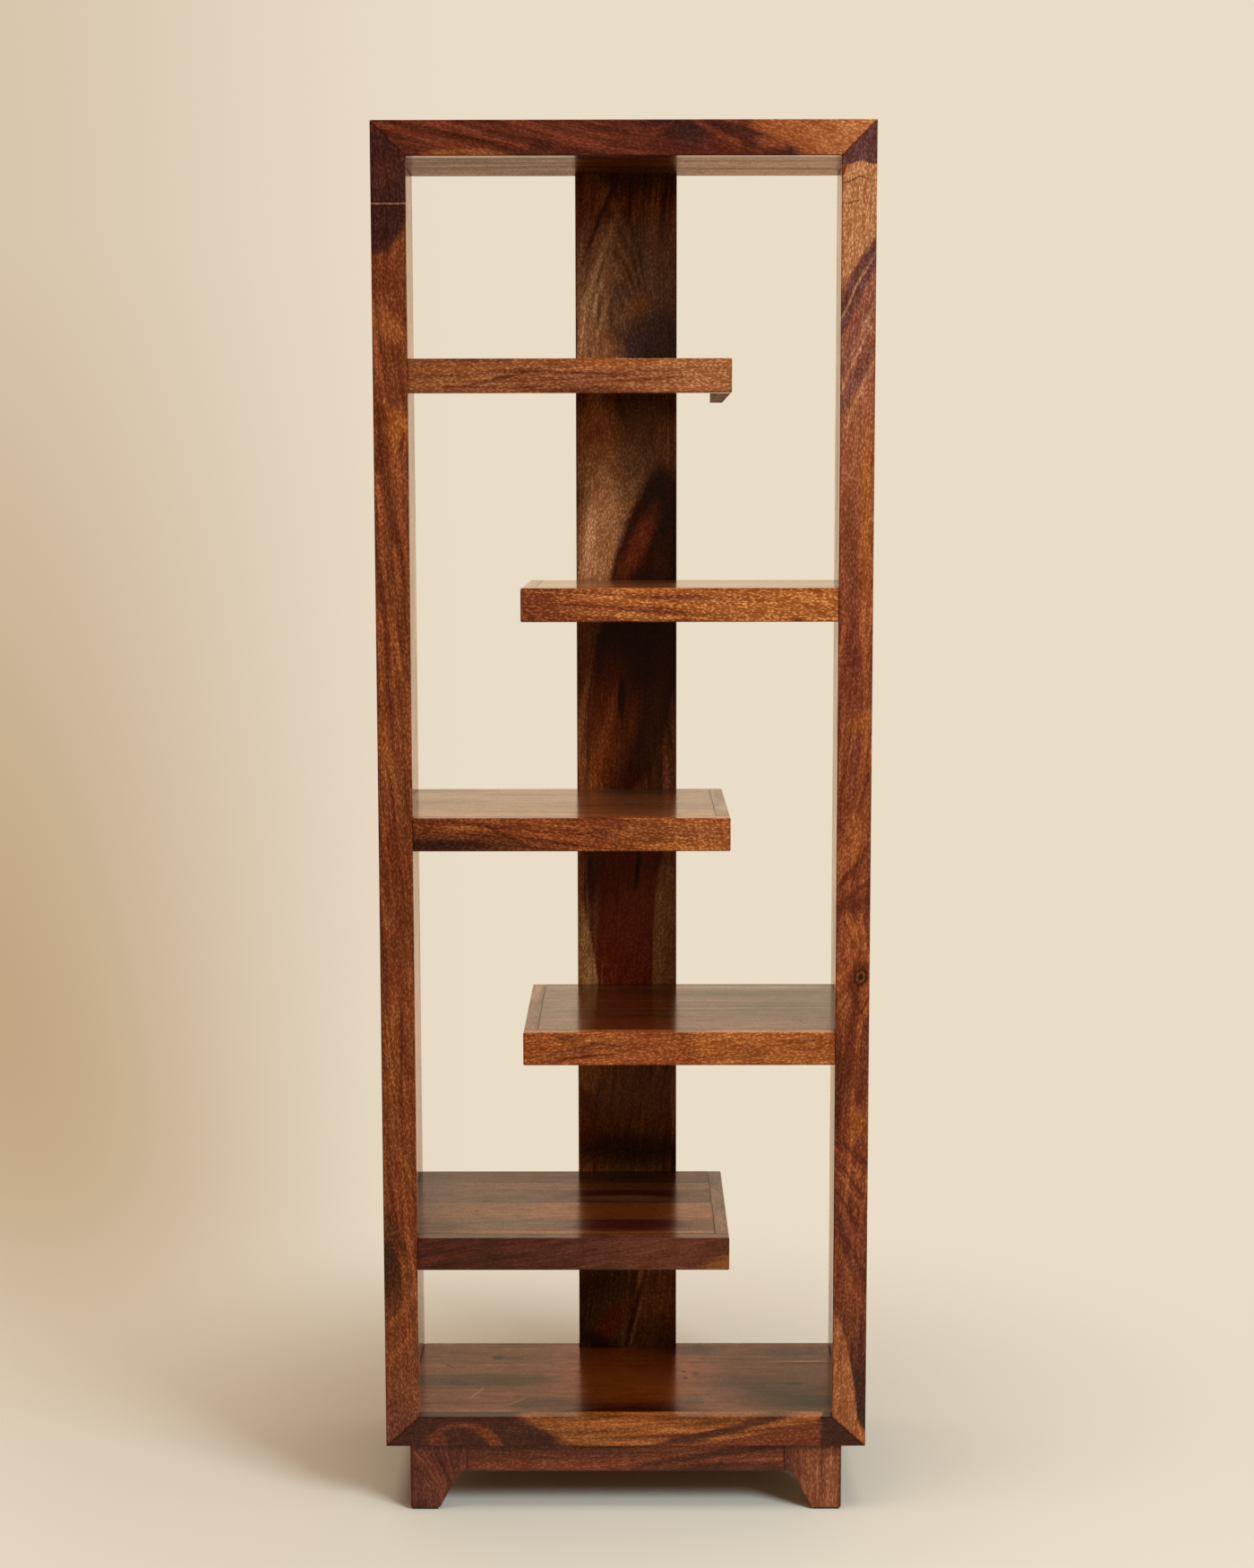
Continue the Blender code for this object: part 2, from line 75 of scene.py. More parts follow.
def add(tree, kind, inputs=None, **settings):
    """Adds a node; inputs maps an input's name or number to a value or to another node's output."""
    made = tree.nodes.new("ShaderNode" + kind)
    for name, value in settings.items():
        setattr(made, name, value)
    for key, value in (inputs or {}).items():
        if isinstance(value, bpy.types.NodeSocket):
            tree.links.new(value, made.inputs[key])
        else:
            made.inputs[key].default_value = value
    return made


def new_material(name):
    """An empty material, and its tree and output node."""
    made = bpy.data.materials.new(name)
    made.use_nodes = True
    made.node_tree.nodes.clear()
    return made, made.node_tree, add(made.node_tree, "OutputMaterial")


# The colour sockets of a Mix node have numbers, because its names repeat for each type
MIX_A, MIX_B, MIX_RESULT = 6, 7, 2
print("half grey in linear light:", round(linear("#808080")[0], 3))

# %% [markdown]
# ## The studio
#
# A product photographer lets pale paper run forward under the piece, so that no horizon shows. Such a sheet
# suits one view only; here the unit is looked at from all round, so the floor is a round sheet that fades
# away outwards, and the colour of the paper behind it is painted on the sky.

# %% Floor
FLOOR_RADIUS = 4.0
FLOOR_CORNERS = 96

turns = [2 * math.pi * corner / FLOOR_CORNERS for corner in range(FLOOR_CORNERS)]
rim = [(FLOOR_RADIUS * math.cos(turn), FLOOR_RADIUS * math.sin(turn), 0.0) for turn in turns]
floor_mesh = bpy.data.meshes.new("paper_floor")
floor_mesh.from_pydata(rim, [], [range(FLOOR_CORNERS)])
floor = bpy.data.objects.new("paper_floor", floor_mesh)
bpy.context.scene.collection.objects.link(floor)
print(f"floor: {2 * FLOOR_RADIUS:.0f} m across")

# %% [markdown]
# The paper is uncoated, so it is matt and hardly mirrors anything. A very wide, faint cloudiness keeps it
# from looking like a computed grey. Away from the unit it turns transparent, so that the sky takes over
# without an edge.

# %% Paper
CLOUDS_PER_METRE = 0.6
FADE_FROM, FADE_TO = 0.25, 1.35

paper, tree, output = new_material("matt_cream_backdrop_paper")
place = add(tree, "TexCoord").outputs["Object"]
cloud = add(tree, "TexNoise", {"Vector": place, "Scale": CLOUDS_PER_METRE, "Detail": 1.0})
shade = add(tree, "Mix", {0: cloud.outputs["Fac"], MIX_A: linear("#EAE9E1"), MIX_B: linear("#EEEDE5")},
            data_type="RGBA")
surface = add(tree, "BsdfPrincipled", {"Base Color": shade.outputs[MIX_RESULT], "Roughness": 0.9,
                                       "Specular IOR Level": 0.2})
distance = add(tree, "VectorMath", {0: place}, operation="LENGTH").outputs["Value"]
fade = add(tree, "MapRange", {"Value": distance, "From Min": FADE_FROM, "From Max": FADE_TO},
           interpolation_type="SMOOTHERSTEP")
clear = add(tree, "BsdfTransparent")
faded = add(tree, "MixShader", {0: fade.outputs[0], 1: surface.outputs[0], 2: clear.outputs[0]})
tree.links.new(faded.outputs[0], output.inputs[0])
floor_mesh.materials.append(paper)
print(f"paper: {len(tree.nodes)} nodes, fades from {FADE_FROM} to {FADE_TO} m")

# %% [markdown]
# ## Light
#
# Soft light is large light. One big panel stands high on the right and in front, as the photographer's
# softbox does: it models the boards and lays the shadow of the base down to the left. A second one hangs
# overhead and lights the paper around the unit. Both stay out of the reflections, because a lacquered shelf
# that mirrors a softbox turns white from corner to corner. A third panel, in the same place as the first and
# far weaker, is there for the reflections: it draws the small lights along the edges.

# %% Lamps
def panel_light(name, place, target, size, power, tint, mirrored=False):
    """A square area light aimed at a point."""
    data = bpy.data.lights.new(name, "AREA")
    data.shape = "SQUARE"
    data.size = size
    data.energy = power
    data.color = linear(tint)[:3]
    made = bpy.data.objects.new(name, data)
    made.location = place
    made.rotation_euler = (Vector(target) - Vector(place)).to_track_quat("-Z", "Y").to_euler()
    made.visible_glossy = mirrored
    bpy.context.scene.collection.objects.link(made)
    print(f"{name}: {power:.0f} W, {size} m wide")
    return made


KEY_PLACE, KEY_TARGET, KEY_SIZE = (2.6, -2.8, 2.8), (0.0, 0.0, 0.9), 1.5
KEY_POWER, GLINT_POWER = 128.0, 7.0
OVERHEAD_PLACE, OVERHEAD_TARGET, OVERHEAD_SIZE = (-0.2, -0.3, 4.2), (-0.1, 1.7, 0.4), 2.5
OVERHEAD_POWER = 76.0
DAYLIGHT, LAMPLIGHT = "#F0FCFF", "#FFF2E2"

panel_light("key_panel", KEY_PLACE, KEY_TARGET, KEY_SIZE, KEY_POWER, DAYLIGHT)
panel_light("glint_panel", KEY_PLACE, KEY_TARGET, KEY_SIZE, GLINT_POWER, DAYLIGHT, mirrored=True)
panel_light("paper_panel", OVERHEAD_PLACE, OVERHEAD_TARGET, OVERHEAD_SIZE, OVERHEAD_POWER, LAMPLIGHT)

# %% [markdown]
# Behind the unit the sky is painted as the pale paper hangs there. It is darker to the left, away from the
# lamp, and most of all low down. The ranges below are parts of the heading, the direction of a ray as a
# vector one long: to the right, to the back and up.

# %% The paper on the sky
PAPER_SIDE = (-0.1, 0.3)
SHADED_SIDE = (-0.05, -0.27)
STRAIGHT_BACK = (0.88, 0.96)
SHADED_HEIGHTS, SHADED_SHARES = (-0.26, 0.10), (1.0, 0.42)

world = bpy.data.worlds.new("soft_sky")
world.use_nodes = True
bpy.context.scene.world = world
tree = world.node_tree
tree.nodes.clear()
heading = add(tree, "SeparateXYZ", {0: add(tree, "TexCoord").outputs["Generated"]})
aside, ahead, behind = (
    add(tree, "MapRange", {"Value": heading.outputs[part], "From Min": start, "From Max": end},
        interpolation_type="SMOOTHSTEP").outputs[0]
    for part, (start, end) in (("X", SHADED_SIDE), ("Y", STRAIGHT_BACK), ("Y", PAPER_SIDE)))
low_down = add(tree, "MapRange", {"Value": heading.outputs["Z"], "From Min": SHADED_HEIGHTS[0],
                                  "From Max": SHADED_HEIGHTS[1], "To Min": SHADED_SHARES[0],
                                  "To Max": SHADED_SHARES[1]}).outputs[0]
darkness = aside
for share in (ahead, low_down):
    darkness = add(tree, "Math", {0: darkness, 1: share}, operation="MULTIPLY").outputs[0]
hung = add(tree, "Mix", {0: darkness, MIX_A: linear("#EADDC8"), MIX_B: linear("#B7976F")}, data_type="RGBA")
print("paper on the sky:", len(tree.nodes), "nodes")

# %% [markdown]
# The sky plays two parts. To the boards it is the dim warm room, which fills the shadows. To the camera, and
# to the lacquer on the side where the paper hangs, it is the paper itself: what a polished shelf mirrors is
# half of its colour, and the lacquer is faintly amber, so the mirrored paper has a warmer tone of its own.
# The Light Path node tells the parts apart.

# %% The sky's two parts
ROOM_STRENGTH = 0.32

ray = add(tree, "LightPath").outputs
mirrored = add(tree, "Math", {0: ray["Is Glossy Ray"], 1: ray["Is Transmission Ray"]}, operation="MAXIMUM")
mirrored = add(tree, "Math", {0: mirrored.outputs[0], 1: behind}, operation="MULTIPLY")
shown = add(tree, "Math", {0: ray["Is Camera Ray"], 1: mirrored.outputs[0]}, operation="MAXIMUM")
paper_colour = add(tree, "Mix", {0: ray["Is Camera Ray"], MIX_A: linear("#FBE0BC"),
                                 MIX_B: hung.outputs[MIX_RESULT]}, data_type="RGBA")
room = add(tree, "Background", {"Color": linear("#FFD2A0"), "Strength": ROOM_STRENGTH})
backdrop = add(tree, "Background", {"Color": paper_colour.outputs[MIX_RESULT], "Strength": 1.0})
both = add(tree, "MixShader", {0: shown.outputs[0], 1: room.outputs[0], 2: backdrop.outputs[0]})
tree.links.new(both.outputs[0], add(tree, "OutputWorld").inputs[0])
bpy.context.scene.view_settings.view_transform = "Standard"
print("sky:", len(tree.nodes), "nodes")

# %% [markdown]
# ## Eased edges
#
# The solids bring the chamfer that a plane leaves. On the real unit sanding and lacquer have rounded it, so a
# small bevel goes over each of its corners. The imported meshes are loose triangles; they are first welded
# and their flat areas joined, because a bevel needs real edges to follow. Modifiers leave the mesh
# itself as it was.

# %% Edges
WELD_REACH = 0.00001
FLAT_ANGLE = math.radians(1)
ROUNDED_ANGLE = math.radians(25)
ROUNDING = 0.0004

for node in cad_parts.values():
    weld = node.modifiers.new("weld", "WELD")
    weld.merge_threshold = WELD_REACH
    flat = node.modifiers.new("join flats", "DECIMATE")
    flat.decimate_type = "DISSOLVE"
    flat.angle_limit = FLAT_ANGLE
    rounding = node.modifiers.new("sanded edge", "BEVEL")
    rounding.limit_method = "ANGLE"
    rounding.angle_limit = ROUNDED_ANGLE
    rounding.width = ROUNDING
    rounding.segments = 2
print("eased edges on", len(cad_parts), "pieces")

# %% [markdown]
# ## A board's own ruler
#
# Timber figure runs with the board and not with the room. So each board gets a ruler in millimetres: u runs
# along the grain from one end, which at the front is the left one or the top, v across the face that is seen,
# and w into the wood. The Mapping node of type TEXTURE turns the room's metres into that ruler in one step.

# %% Board rulers
AXES = {"x": Vector((1, 0, 0)), "y": Vector((0, 1, 0)), "z": Vector((0, 0, 1))}
MILLIMETRE = 0.001


def axis(sign_and_letter):
    """The direction that a sign and a letter name, such as "-z"."""
    sign, letter = sign_and_letter
    return AXES[letter] * (-1 if sign == "-" else 1)


def board_ruler(tree, node_name, along, across):
    """The place on a board in its own millimetres, from the corner where its u, v and w start."""
    u, v = axis(along), axis(across)
    w = u.cross(v)
    low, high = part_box(node_name)
    heading = u + v + w
    start = [low[i] if heading[i] > 0 else high[i] for i in range(3)]
    turned = Matrix((u, v, w)).transposed().to_euler()
    place = add(tree, "TexCoord").outputs["Object"]
    return add(tree, "Mapping", {"Vector": place, "Location": start, "Rotation": turned,
                                 "Scale": (MILLIMETRE, MILLIMETRE, MILLIMETRE)}, vector_type="TEXTURE")


low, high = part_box("back_plank")
print("the plank's ruler:", round((high.z - low.z) / MILLIMETRE), "mm along,",
      round((high.x - low.x) / MILLIMETRE), "mm across")

# %% [markdown]
# ## Sheesham
#
# Indian rosewood is streaky because its heartwood is laid down unevenly: honey sapwood, red-brown and almost
# black heart lie in layers that a saw cuts at every angle. Four patterns make most of it, each with a real
# size:
#
# - streaks of colour, 5 to 15 mm wide and a hand or more long,
# - growth lines of 1 to 3.5 mm,
# - pores, short dark dashes. Real ones are 0.2 mm wide, which no pixel here could show, so they are drawn
#   1.1 mm wide and 5 mm long,
# - flecks, where the fibres tip towards the light, drawn 2 mm wide and 5.5 mm long for the same reason.
#
# Streaks and growth lines follow the rings of the tree, which arch and swirl where the saw meets them. Pores
# and flecks follow the fibre, which runs straight on. So the group, which every board shares, takes two
# places. The streaks give the colour. Each other pattern gives a shade, a number near 1 that the colour is
# multiplied with, and so does a soft mottle that breaks up what is left of even tone.

# %% The timber group
def new_group(name, sockets):
    """A node group with its sockets, given as (way, type, name), and its tree, start and end nodes."""
    tree = bpy.data.node_groups.new(name, "ShaderNodeTree")
    for way, kind, title in sockets:
        tree.interface.new_socket(title, in_out=way, socket_type="NodeSocket" + kind)
    return tree, tree.nodes.new("NodeGroupInput"), tree.nodes.new("NodeGroupOutput")


# Sizes in mm: along the grain, across it, and into the wood
STREAK = (170.0, 9.0, 30.0)
GROWTH_LINE = (90.0, 3.4, 10.0)
FLECK = (5.5, 2.0, 2.0)
PORE = (5.0, 1.1, 1.1)
MOTTLE = (26.0, 12.0, 12.0)
# Noise hardly ever leaves this range, so it counts as all of it
NOISE_RANGE = (0.3, 0.7)


def patterned(tree, place, size, detail, low, high, roughness=0.5):
    """Noise whose cells have the given size in mm, spread from low to high."""
    stretched = add(tree, "VectorMath", {0: place, 1: size}, operation="DIVIDE")
    noise = add(tree, "TexNoise", {"Vector": stretched.outputs[0], "Scale": 1.0, "Detail": detail,
                                   "Roughness": roughness})
    return add(tree, "MapRange", {"Value": noise.outputs["Fac"], "From Min": NOISE_RANGE[0],
                                  "From Max": NOISE_RANGE[1], "To Min": low, "To Max": high}).outputs[0]


print("streaks are", STREAK[1], "mm wide, growth lines", GROWTH_LINE[1], "mm")

# %% The timber group's colours
# Beyond 0 and 1 a streak keeps the pure dark or light tone for a while
STREAK_SPREAD = (-0.25, 1.25)
STREAK_ROUGHNESS = 0.6

timber, start, end = new_group("sheesham_figure", (
    ("INPUT", "Vector", "Place"), ("INPUT", "Vector", "Fibre"), ("INPUT", "Color", "Light"),
    ("INPUT", "Color", "Middle"), ("INPUT", "Color", "Dark"), ("INPUT", "Float", "Fleck"),
    ("OUTPUT", "Color", "Colour"), ("OUTPUT", "Float", "Shade"), ("OUTPUT", "Float", "Height")))
place, fibre = start.outputs["Place"], start.outputs["Fibre"]
streak = patterned(timber, place, STREAK, 4.0, *STREAK_SPREAD, STREAK_ROUGHNESS)
darker = add(timber, "MapRange", {"Value": streak, "From Min": 0.0, "From Max": 0.5},
             interpolation_type="SMOOTHSTEP")
lighter = add(timber, "MapRange", {"Value": streak, "From Min": 0.5, "From Max": 1.0},
              interpolation_type="SMOOTHSTEP")
ground = add(timber, "Mix", {0: darker.outputs[0], MIX_A: start.outputs["Dark"],
                             MIX_B: start.outputs["Middle"]}, data_type="RGBA")
ground = add(timber, "Mix", {0: lighter.outputs[0], MIX_A: ground.outputs[MIX_RESULT],
                             MIX_B: start.outputs["Light"]}, data_type="RGBA")
print("timber colours:", len(timber.nodes), "nodes")

# %% The timber group's shade
GROWTH_SHADE = (0.78, 1.20)
MOTTLE_SHADE = (0.84, 1.16)
FLECK_RIM, FLECK_SHADE = (0.18, 0.58), (1.5, -0.75)
PORE_RIM, PORE_SHADE = (0.68, 0.9), 0.68

growth = patterned(timber, place, GROWTH_LINE, 3.0, *GROWTH_SHADE)
mottle = patterned(timber, fibre, MOTTLE, 2.0, *MOTTLE_SHADE)
stretched = add(timber, "VectorMath", {0: fibre, 1: FLECK}, operation="DIVIDE")
cell = add(timber, "TexVoronoi", {"Vector": stretched.outputs[0], "Scale": 1.0, "Randomness": 0.9})
fleck = add(timber, "MapRange", {"Value": cell.outputs["Distance"], "From Min": FLECK_RIM[0],
                                 "From Max": FLECK_RIM[1], "To Min": FLECK_SHADE[0],
                                 "To Max": FLECK_SHADE[1]}, interpolation_type="SMOOTHSTEP")
fleck = add(timber, "Math", {0: fleck.outputs[0], 1: start.outputs["Fleck"], 2: 1.0},
            operation="MULTIPLY_ADD")
pore = patterned(timber, fibre, PORE, 1.0, 0.0, 1.0)
pore = add(timber, "MapRange", {"Value": pore, "From Min": PORE_RIM[0], "From Max": PORE_RIM[1],
                                "To Min": 1.0, "To Max": PORE_SHADE})
shade = growth
for part in (mottle, fleck.outputs[0], pore.outputs[0]):
    shade = add(timber, "Math", {0: shade, 1: part}, operation="MULTIPLY").outputs[0]
for title, result in (("Colour", ground.outputs[MIX_RESULT]), ("Shade", shade), ("Height", pore.outputs[0])):
    timber.links.new(result, end.inputs[title])
print("timber group:", len(timber.nodes), "nodes")

# %% [markdown]
# The trunk was never straight, so the ruler is bent a little before anything is drawn on it. Lazy waves
# of a few millimetres make every streak and every edge between light and dark wander.

# %% The wandering of the grain
# Sizes in mm again, and how far each wave moves the wood along, across and inwards
WAVE = (140.0, 30.0, 30.0)
WAVE_REACH = (18.0, 5.5, 5.5)
RIPPLE = (30.0, 9.0, 9.0)
RIPPLE_REACH = (2.0, 1.8, 1.8)
NOISE_MIDDLE = (0.5, 0.5, 0.5)

wander, start, end = new_group("wandering_grain", (
    ("INPUT", "Vector", "Place"), ("INPUT", "Vector", "Log"), ("OUTPUT", "Vector", "Place")))
place = start.outputs["Place"]
for size, reach in ((WAVE, WAVE_REACH), (RIPPLE, RIPPLE_REACH)):
    stretched = add(wander, "VectorMath", {0: place, 1: size}, operation="DIVIDE")
    in_log = add(wander, "VectorMath", {0: stretched.outputs[0], 1: start.outputs["Log"]}, operation="ADD")
    noise = add(wander, "TexNoise", {"Vector": in_log.outputs[0], "Scale": 1.0, "Detail": 1.0})
    centred = add(wander, "VectorMath", {0: noise.outputs["Color"], 1: NOISE_MIDDLE}, operation="SUBTRACT")
    moved = add(wander, "VectorMath", {0: centred.outputs[0], 1: reach, 2: place}, operation="MULTIPLY_ADD")
    place = moved.outputs[0]
wander.links.new(place, end.inputs["Place"])
print("wandering group:", len(wander.nodes), "nodes")

# %% [markdown]
# ## A board
#
# What makes a board itself are its patches: a tongue of sapwood, a flame of dark heart, a knot. Each is a
# stretched ball in the wood, with its place, half length, half width and lean on the ruler, a colour, how
# fully it covers, how soft its edge is, and how far it bends the grain around it. A patch wanders with the
# grain, unless it is straight, as a joint is. The patches are placed from how the real boards look.

# %% Patches
# A few patches below are not marks of the wood: they are painted shadow and painted reflection, each named
# where it stands
Patch = namedtuple("Patch", "u v length width lean colour cover edge bend straight",
                   defaults=(0, "", 1.0, 0.25, 0.0, False))
# How far a patch reaches into the wood, in mm
PATCH_DEPTH = 90.0
# The grain bends around a patch out to this many times its size
BEND_FROM = 2.2


def add_patches(tree, ruler, place, ground, patches):
    """Lays the patches over the ground colour. Returns the colour and how far the grain bends across."""
    bend = 0.0
    for patch in patches:
        seen = add(tree, "Mapping", {
            "Vector": ruler if patch.straight else place, "Location": (patch.u, patch.v, 0.0),
            "Rotation": (0.0, 0.0, math.radians(patch.lean)),
            "Scale": (patch.length, patch.width, PATCH_DEPTH)}, vector_type="TEXTURE")
        reach = add(tree, "VectorMath", {0: seen.outputs[0]}, operation="LENGTH").outputs["Value"]
        if patch.colour:
            mask = add(tree, "MapRange", {
                "Value": reach, "From Min": 1 - patch.edge, "From Max": 1 + patch.edge,
                "To Min": patch.cover, "To Max": 0.0}, interpolation_type="SMOOTHSTEP")
            ground = add(tree, "Mix", {0: mask.outputs[0], MIX_A: ground, MIX_B: linear(patch.colour)},
                         data_type="RGBA").outputs[MIX_RESULT]
        if patch.bend:
            bump = add(tree, "MapRange", {
                "Value": reach, "From Min": 0.0, "From Max": BEND_FROM,
                "To Min": patch.bend, "To Max": 0.0}, interpolation_type="SMOOTHERSTEP")
            bend = add(tree, "Math", {0: bump.outputs[0], 1: bend}, operation="ADD").outputs[0]
    return ground, bend


print("a patch is", ", ".join(Patch._fields))

# %% [markdown]
# ## Lacquer
#
# The lacquer is a clear coat over the colour. Real lacquer bends light at about 1.5, but this one reflects a
# little less than that in front view, so it is matched with a lower value. Below it the polished fibres throw
# light back too, in the colour of the wood: that shimmer is matched with a share of Metallic, which tints
# what it mirrors. The faces that lie open have been rubbed smooth, the lowest ones are worn, and the spray
# gun hardly reached what faces down. Light that glances off such thin lacquer comes back warm, so it has a
# glance colour.
#
# Dark heart is oily and takes less polish than sapwood. So the film of lacquer follows the tone of the wood,
# and the streaks still show in what a shelf mirrors.

# %% Finishes
LACQUER_ROUGHNESS = 0.15
# The fibres under the lacquer, in the dark lines and in the light ones
ROUGHNESS = (0.6, 0.38)
# How much of its lacquer a dark streak keeps, and how much more a light one has, both as shares
FILM = (0.82, 1.40)
# What counts as dark and as light, as shares of the board's middle tone
DARK_STREAK, LIGHT_STREAK = 0.3, 2.0

# cover, shimmer and rough are shares: of full lacquer, of metal-like shine, and of the fibres' roughness
Lacquer = namedtuple("Lacquer", "cover ior shimmer rough glance", defaults=("#FFFFFF",))
SPRAYED = Lacquer(1.0, 1.3, 0.0, 1.0)
GLOSSY = Lacquer(0.95, 1.4, 0.15, 0.6)
RUBBED = Lacquer(0.75, 1.35, 0.35, 0.5)
WORN = Lacquer(0.42, 1.35, 0.42, 0.5)
THIN = Lacquer(0.15, 1.3, 0.44, 0.6, "#FFF1E6")
MISSED = Lacquer(0.0, 1.3, 0.35, 0.6, "#FFDFC4")
for finish, lacquer in (("sprayed", SPRAYED), ("glossy", GLOSSY), ("rubbed", RUBBED), ("worn", WORN),
                        ("thin", THIN), ("missed", MISSED)):
    print(f"{finish}: covers {lacquer.cover:.2f}, shimmer {lacquer.shimmer:.2f}")

# %% [markdown]
# ## Cutting the boards
#
# Each board is cut from another place in the endless pattern, which its log number gives, so no two are
# alike. Its grain leans by the angle at which it was sawn. The fibre only leans, and the rings also bend
# around the patches.

# %% The place in the log
LOG_STEP = (7.31, 3.17, 5.73)
LOGS_APART = 1000


def cut_from_log(tree, figure, place, lean, bend, log_place):
    """Gives the timber group its two places, one for the fibre and one for the rings."""
    parts = add(tree, "SeparateXYZ", {0: place}).outputs
    across_fibre = add(tree, "Math", {0: parts["X"], 1: -math.tan(math.radians(lean)), 2: parts["Y"]},
                       operation="MULTIPLY_ADD").outputs[0]
    across_rings = add(tree, "Math", {0: across_fibre, 1: bend}, operation="ADD").outputs[0]
    for title, across_grain in (("Fibre", across_fibre), ("Place", across_rings)):
        grain = add(tree, "CombineXYZ", {"X": parts["X"], "Y": across_grain, "Z": parts["Z"]})
        in_log = add(tree, "VectorMath", {0: grain.outputs[0], 1: [LOGS_APART * part for part in log_place]},
                     operation="ADD")
        tree.links.new(in_log.outputs[0], figure.inputs[title])


print("log 1 starts at", [round(LOGS_APART * step) for step in LOG_STEP], "mm")

# %% [markdown]
# A darker line in this wood is also a redder one, so the shade weighs more on green and blue than on red.
# Along its edges each board is painted darker: painted shade, like that on an arris which turns away from the
# light. An ambient occlusion node that looks into the wood finds these edges: only near one do its short rays
# come out again.

# %% Darker lines and edges
SHADE_GAIN = (0.9, 1.2, 1.45)
DEEPEST_SHADE = (0.1, 0.07, 0.05)
# The edge constants set the painted shade along each board's edges
EDGE_REACH = 0.004
EDGE_OPENNESS = (0.5, 0.9)
EDGE_SHADE = 0.62


def darken(tree, ground, shade):
    """The ground colour under the patterns' shade, with painted shade along its edges."""
    # Painted shade: darker where the short inward rays find an edge
    inward = add(tree, "AmbientOcclusion", {"Distance": EDGE_REACH}, samples=6, inside=True, only_local=True)
    edge = add(tree, "MapRange", {"Value": inward.outputs["AO"], "From Min": EDGE_OPENNESS[0],
                                  "From Max": EDGE_OPENNESS[1], "To Min": EDGE_SHADE, "To Max": 1.0})
    shade = add(tree, "Math", {0: shade, 1: edge.outputs[0]}, operation="MULTIPLY")
    tinted = add(tree, "VectorMath", {0: shade.outputs[0], 1: SHADE_GAIN,
                                      2: [1 - gain for gain in SHADE_GAIN]}, operation="MULTIPLY_ADD")
    tinted = add(tree, "VectorMath", {0: tinted.outputs[0], 1: DEEPEST_SHADE}, operation="MAXIMUM")
    return add(tree, "VectorMath", {0: ground, 1: tinted.outputs[0]}, operation="MULTIPLY").outputs[0]


print(f"edges are {1 - EDGE_SHADE:.0%} darker over {1000 * EDGE_REACH:.0f} mm")

# %% [markdown]
# Under the lacquer the wood itself is shaded by its lines: the dark ones are open and dull, the light ones
# polished, and the pores are tiny dents.

# %% Lacquer over the wood
SHADE_RANGE = (0.6, 1.3)
PORE_DEPTH = 0.0002


def lacquer_over(tree, colour, figure, middle_tone, lacquer):
    """The shader of the wood under its lacquer."""
    bump = add(tree, "Bump", {"Height": figure.outputs["Height"], "Distance": PORE_DEPTH, "Strength": 0.35})
    dull, bright = (lacquer.rough * value for value in ROUGHNESS)
    rough = add(tree, "MapRange", {"Value": figure.outputs["Shade"], "From Min": SHADE_RANGE[0],
                                   "From Max": SHADE_RANGE[1], "To Min": dull, "To Max": bright})
    middle = sum(linear(middle_tone)[:3]) / 3
    film = add(tree, "MapRange", {"Value": add(tree, "RGBToBW", {0: colour}).outputs[0],
                                  "From Min": DARK_STREAK * middle, "From Max": LIGHT_STREAK * middle,
                                  "To Min": FILM[0], "To Max": FILM[1]}).outputs[0]
    shimmer, cover = (add(tree, "Math", {0: film, 1: share}, operation="MULTIPLY", use_clamp=True).outputs[0]
                      if share else 0.0 for share in (lacquer.shimmer, lacquer.cover))
    return add(tree, "BsdfPrincipled", {
        "Base Color": colour, "Roughness": rough.outputs[0], "Normal": bump.outputs[0],
        "Metallic": shimmer, "Coat Weight": cover, "Coat Roughness": LACQUER_ROUGHNESS,
        "Coat IOR": lacquer.ior, "Specular IOR Level": 0.0, "Specular Tint": linear(lacquer.glance)})


print("pores are", 1000 * PORE_DEPTH, "mm deep")

# %% [markdown]
# Now one function can dress a board: it lays the ruler, lets the grain wander, draws the figure and the
# patches, and puts the lacquer over them.

# %% Dressing a board
def dress(name, material):
    """Puts a material on a piece of the frame in place of the one it came with."""
    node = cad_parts[name]
    node.material_slots[0].link = "OBJECT"
    node.material_slots[0].material = material


def board(name, along, across, log, tones, lean=0.0, patches=(), fleck=0.3, lacquer=SPRAYED):
    """Dresses one board in lacquered sheesham; tones are its light, middle and dark streaks."""
    made, tree, output = new_material("lacquered_sheesham_" + name)
    ruler = board_ruler(tree, name, along, across).outputs[0]
    log_place = [log * step for step in LOG_STEP]
    place = add(tree, "Group", {"Place": ruler, "Log": log_place}, node_tree=wander).outputs["Place"]
    streaks = {title: linear(tone) for title, tone in zip(("Light", "Middle", "Dark"), tones)}
    figure = add(tree, "Group", {**streaks, "Fleck": fleck}, node_tree=timber)
    ground, bend = add_patches(tree, ruler, place, figure.outputs["Colour"], patches)
    cut_from_log(tree, figure, place, lean, bend, log_place)
    colour = darken(tree, ground, figure.outputs["Shade"])
    surface = lacquer_over(tree, colour, figure, tones[1], lacquer)
    tree.links.new(surface.outputs[0], output.inputs[0])
    dress(name, made)
    print(f"{name}: {len(patches)} patches")


print("pieces to dress:", len(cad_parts))

# %% [markdown]
# ## The timbers
#
# These are the tones that lacquered sheesham shows, from pale sapwood to the nearly black heart. Boards mix
# them, so that two boards of one name never look alike.

# %% Tones
SAPWOOD = "#B97C4A"
HONEY = "#A9612E"
RUSSET = "#7A381E"
UMBER = "#5E2D1A"
OLIVE = "#5E4123"
HEART = "#472418"
EBONY = "#26130C"
print("tones from", SAPWOOD, "to", EBONY)

# %% [markdown]
# ## The face frame
#
# Four lippings, mitred at the corners, make the face that everybody sees. The joiner cut them from several
# boards: a reddish top rail that ends in honey sapwood, a bottom rail with a swirl of dark heart, and two
# stiles that change from dark heart to red-brown on their way down.

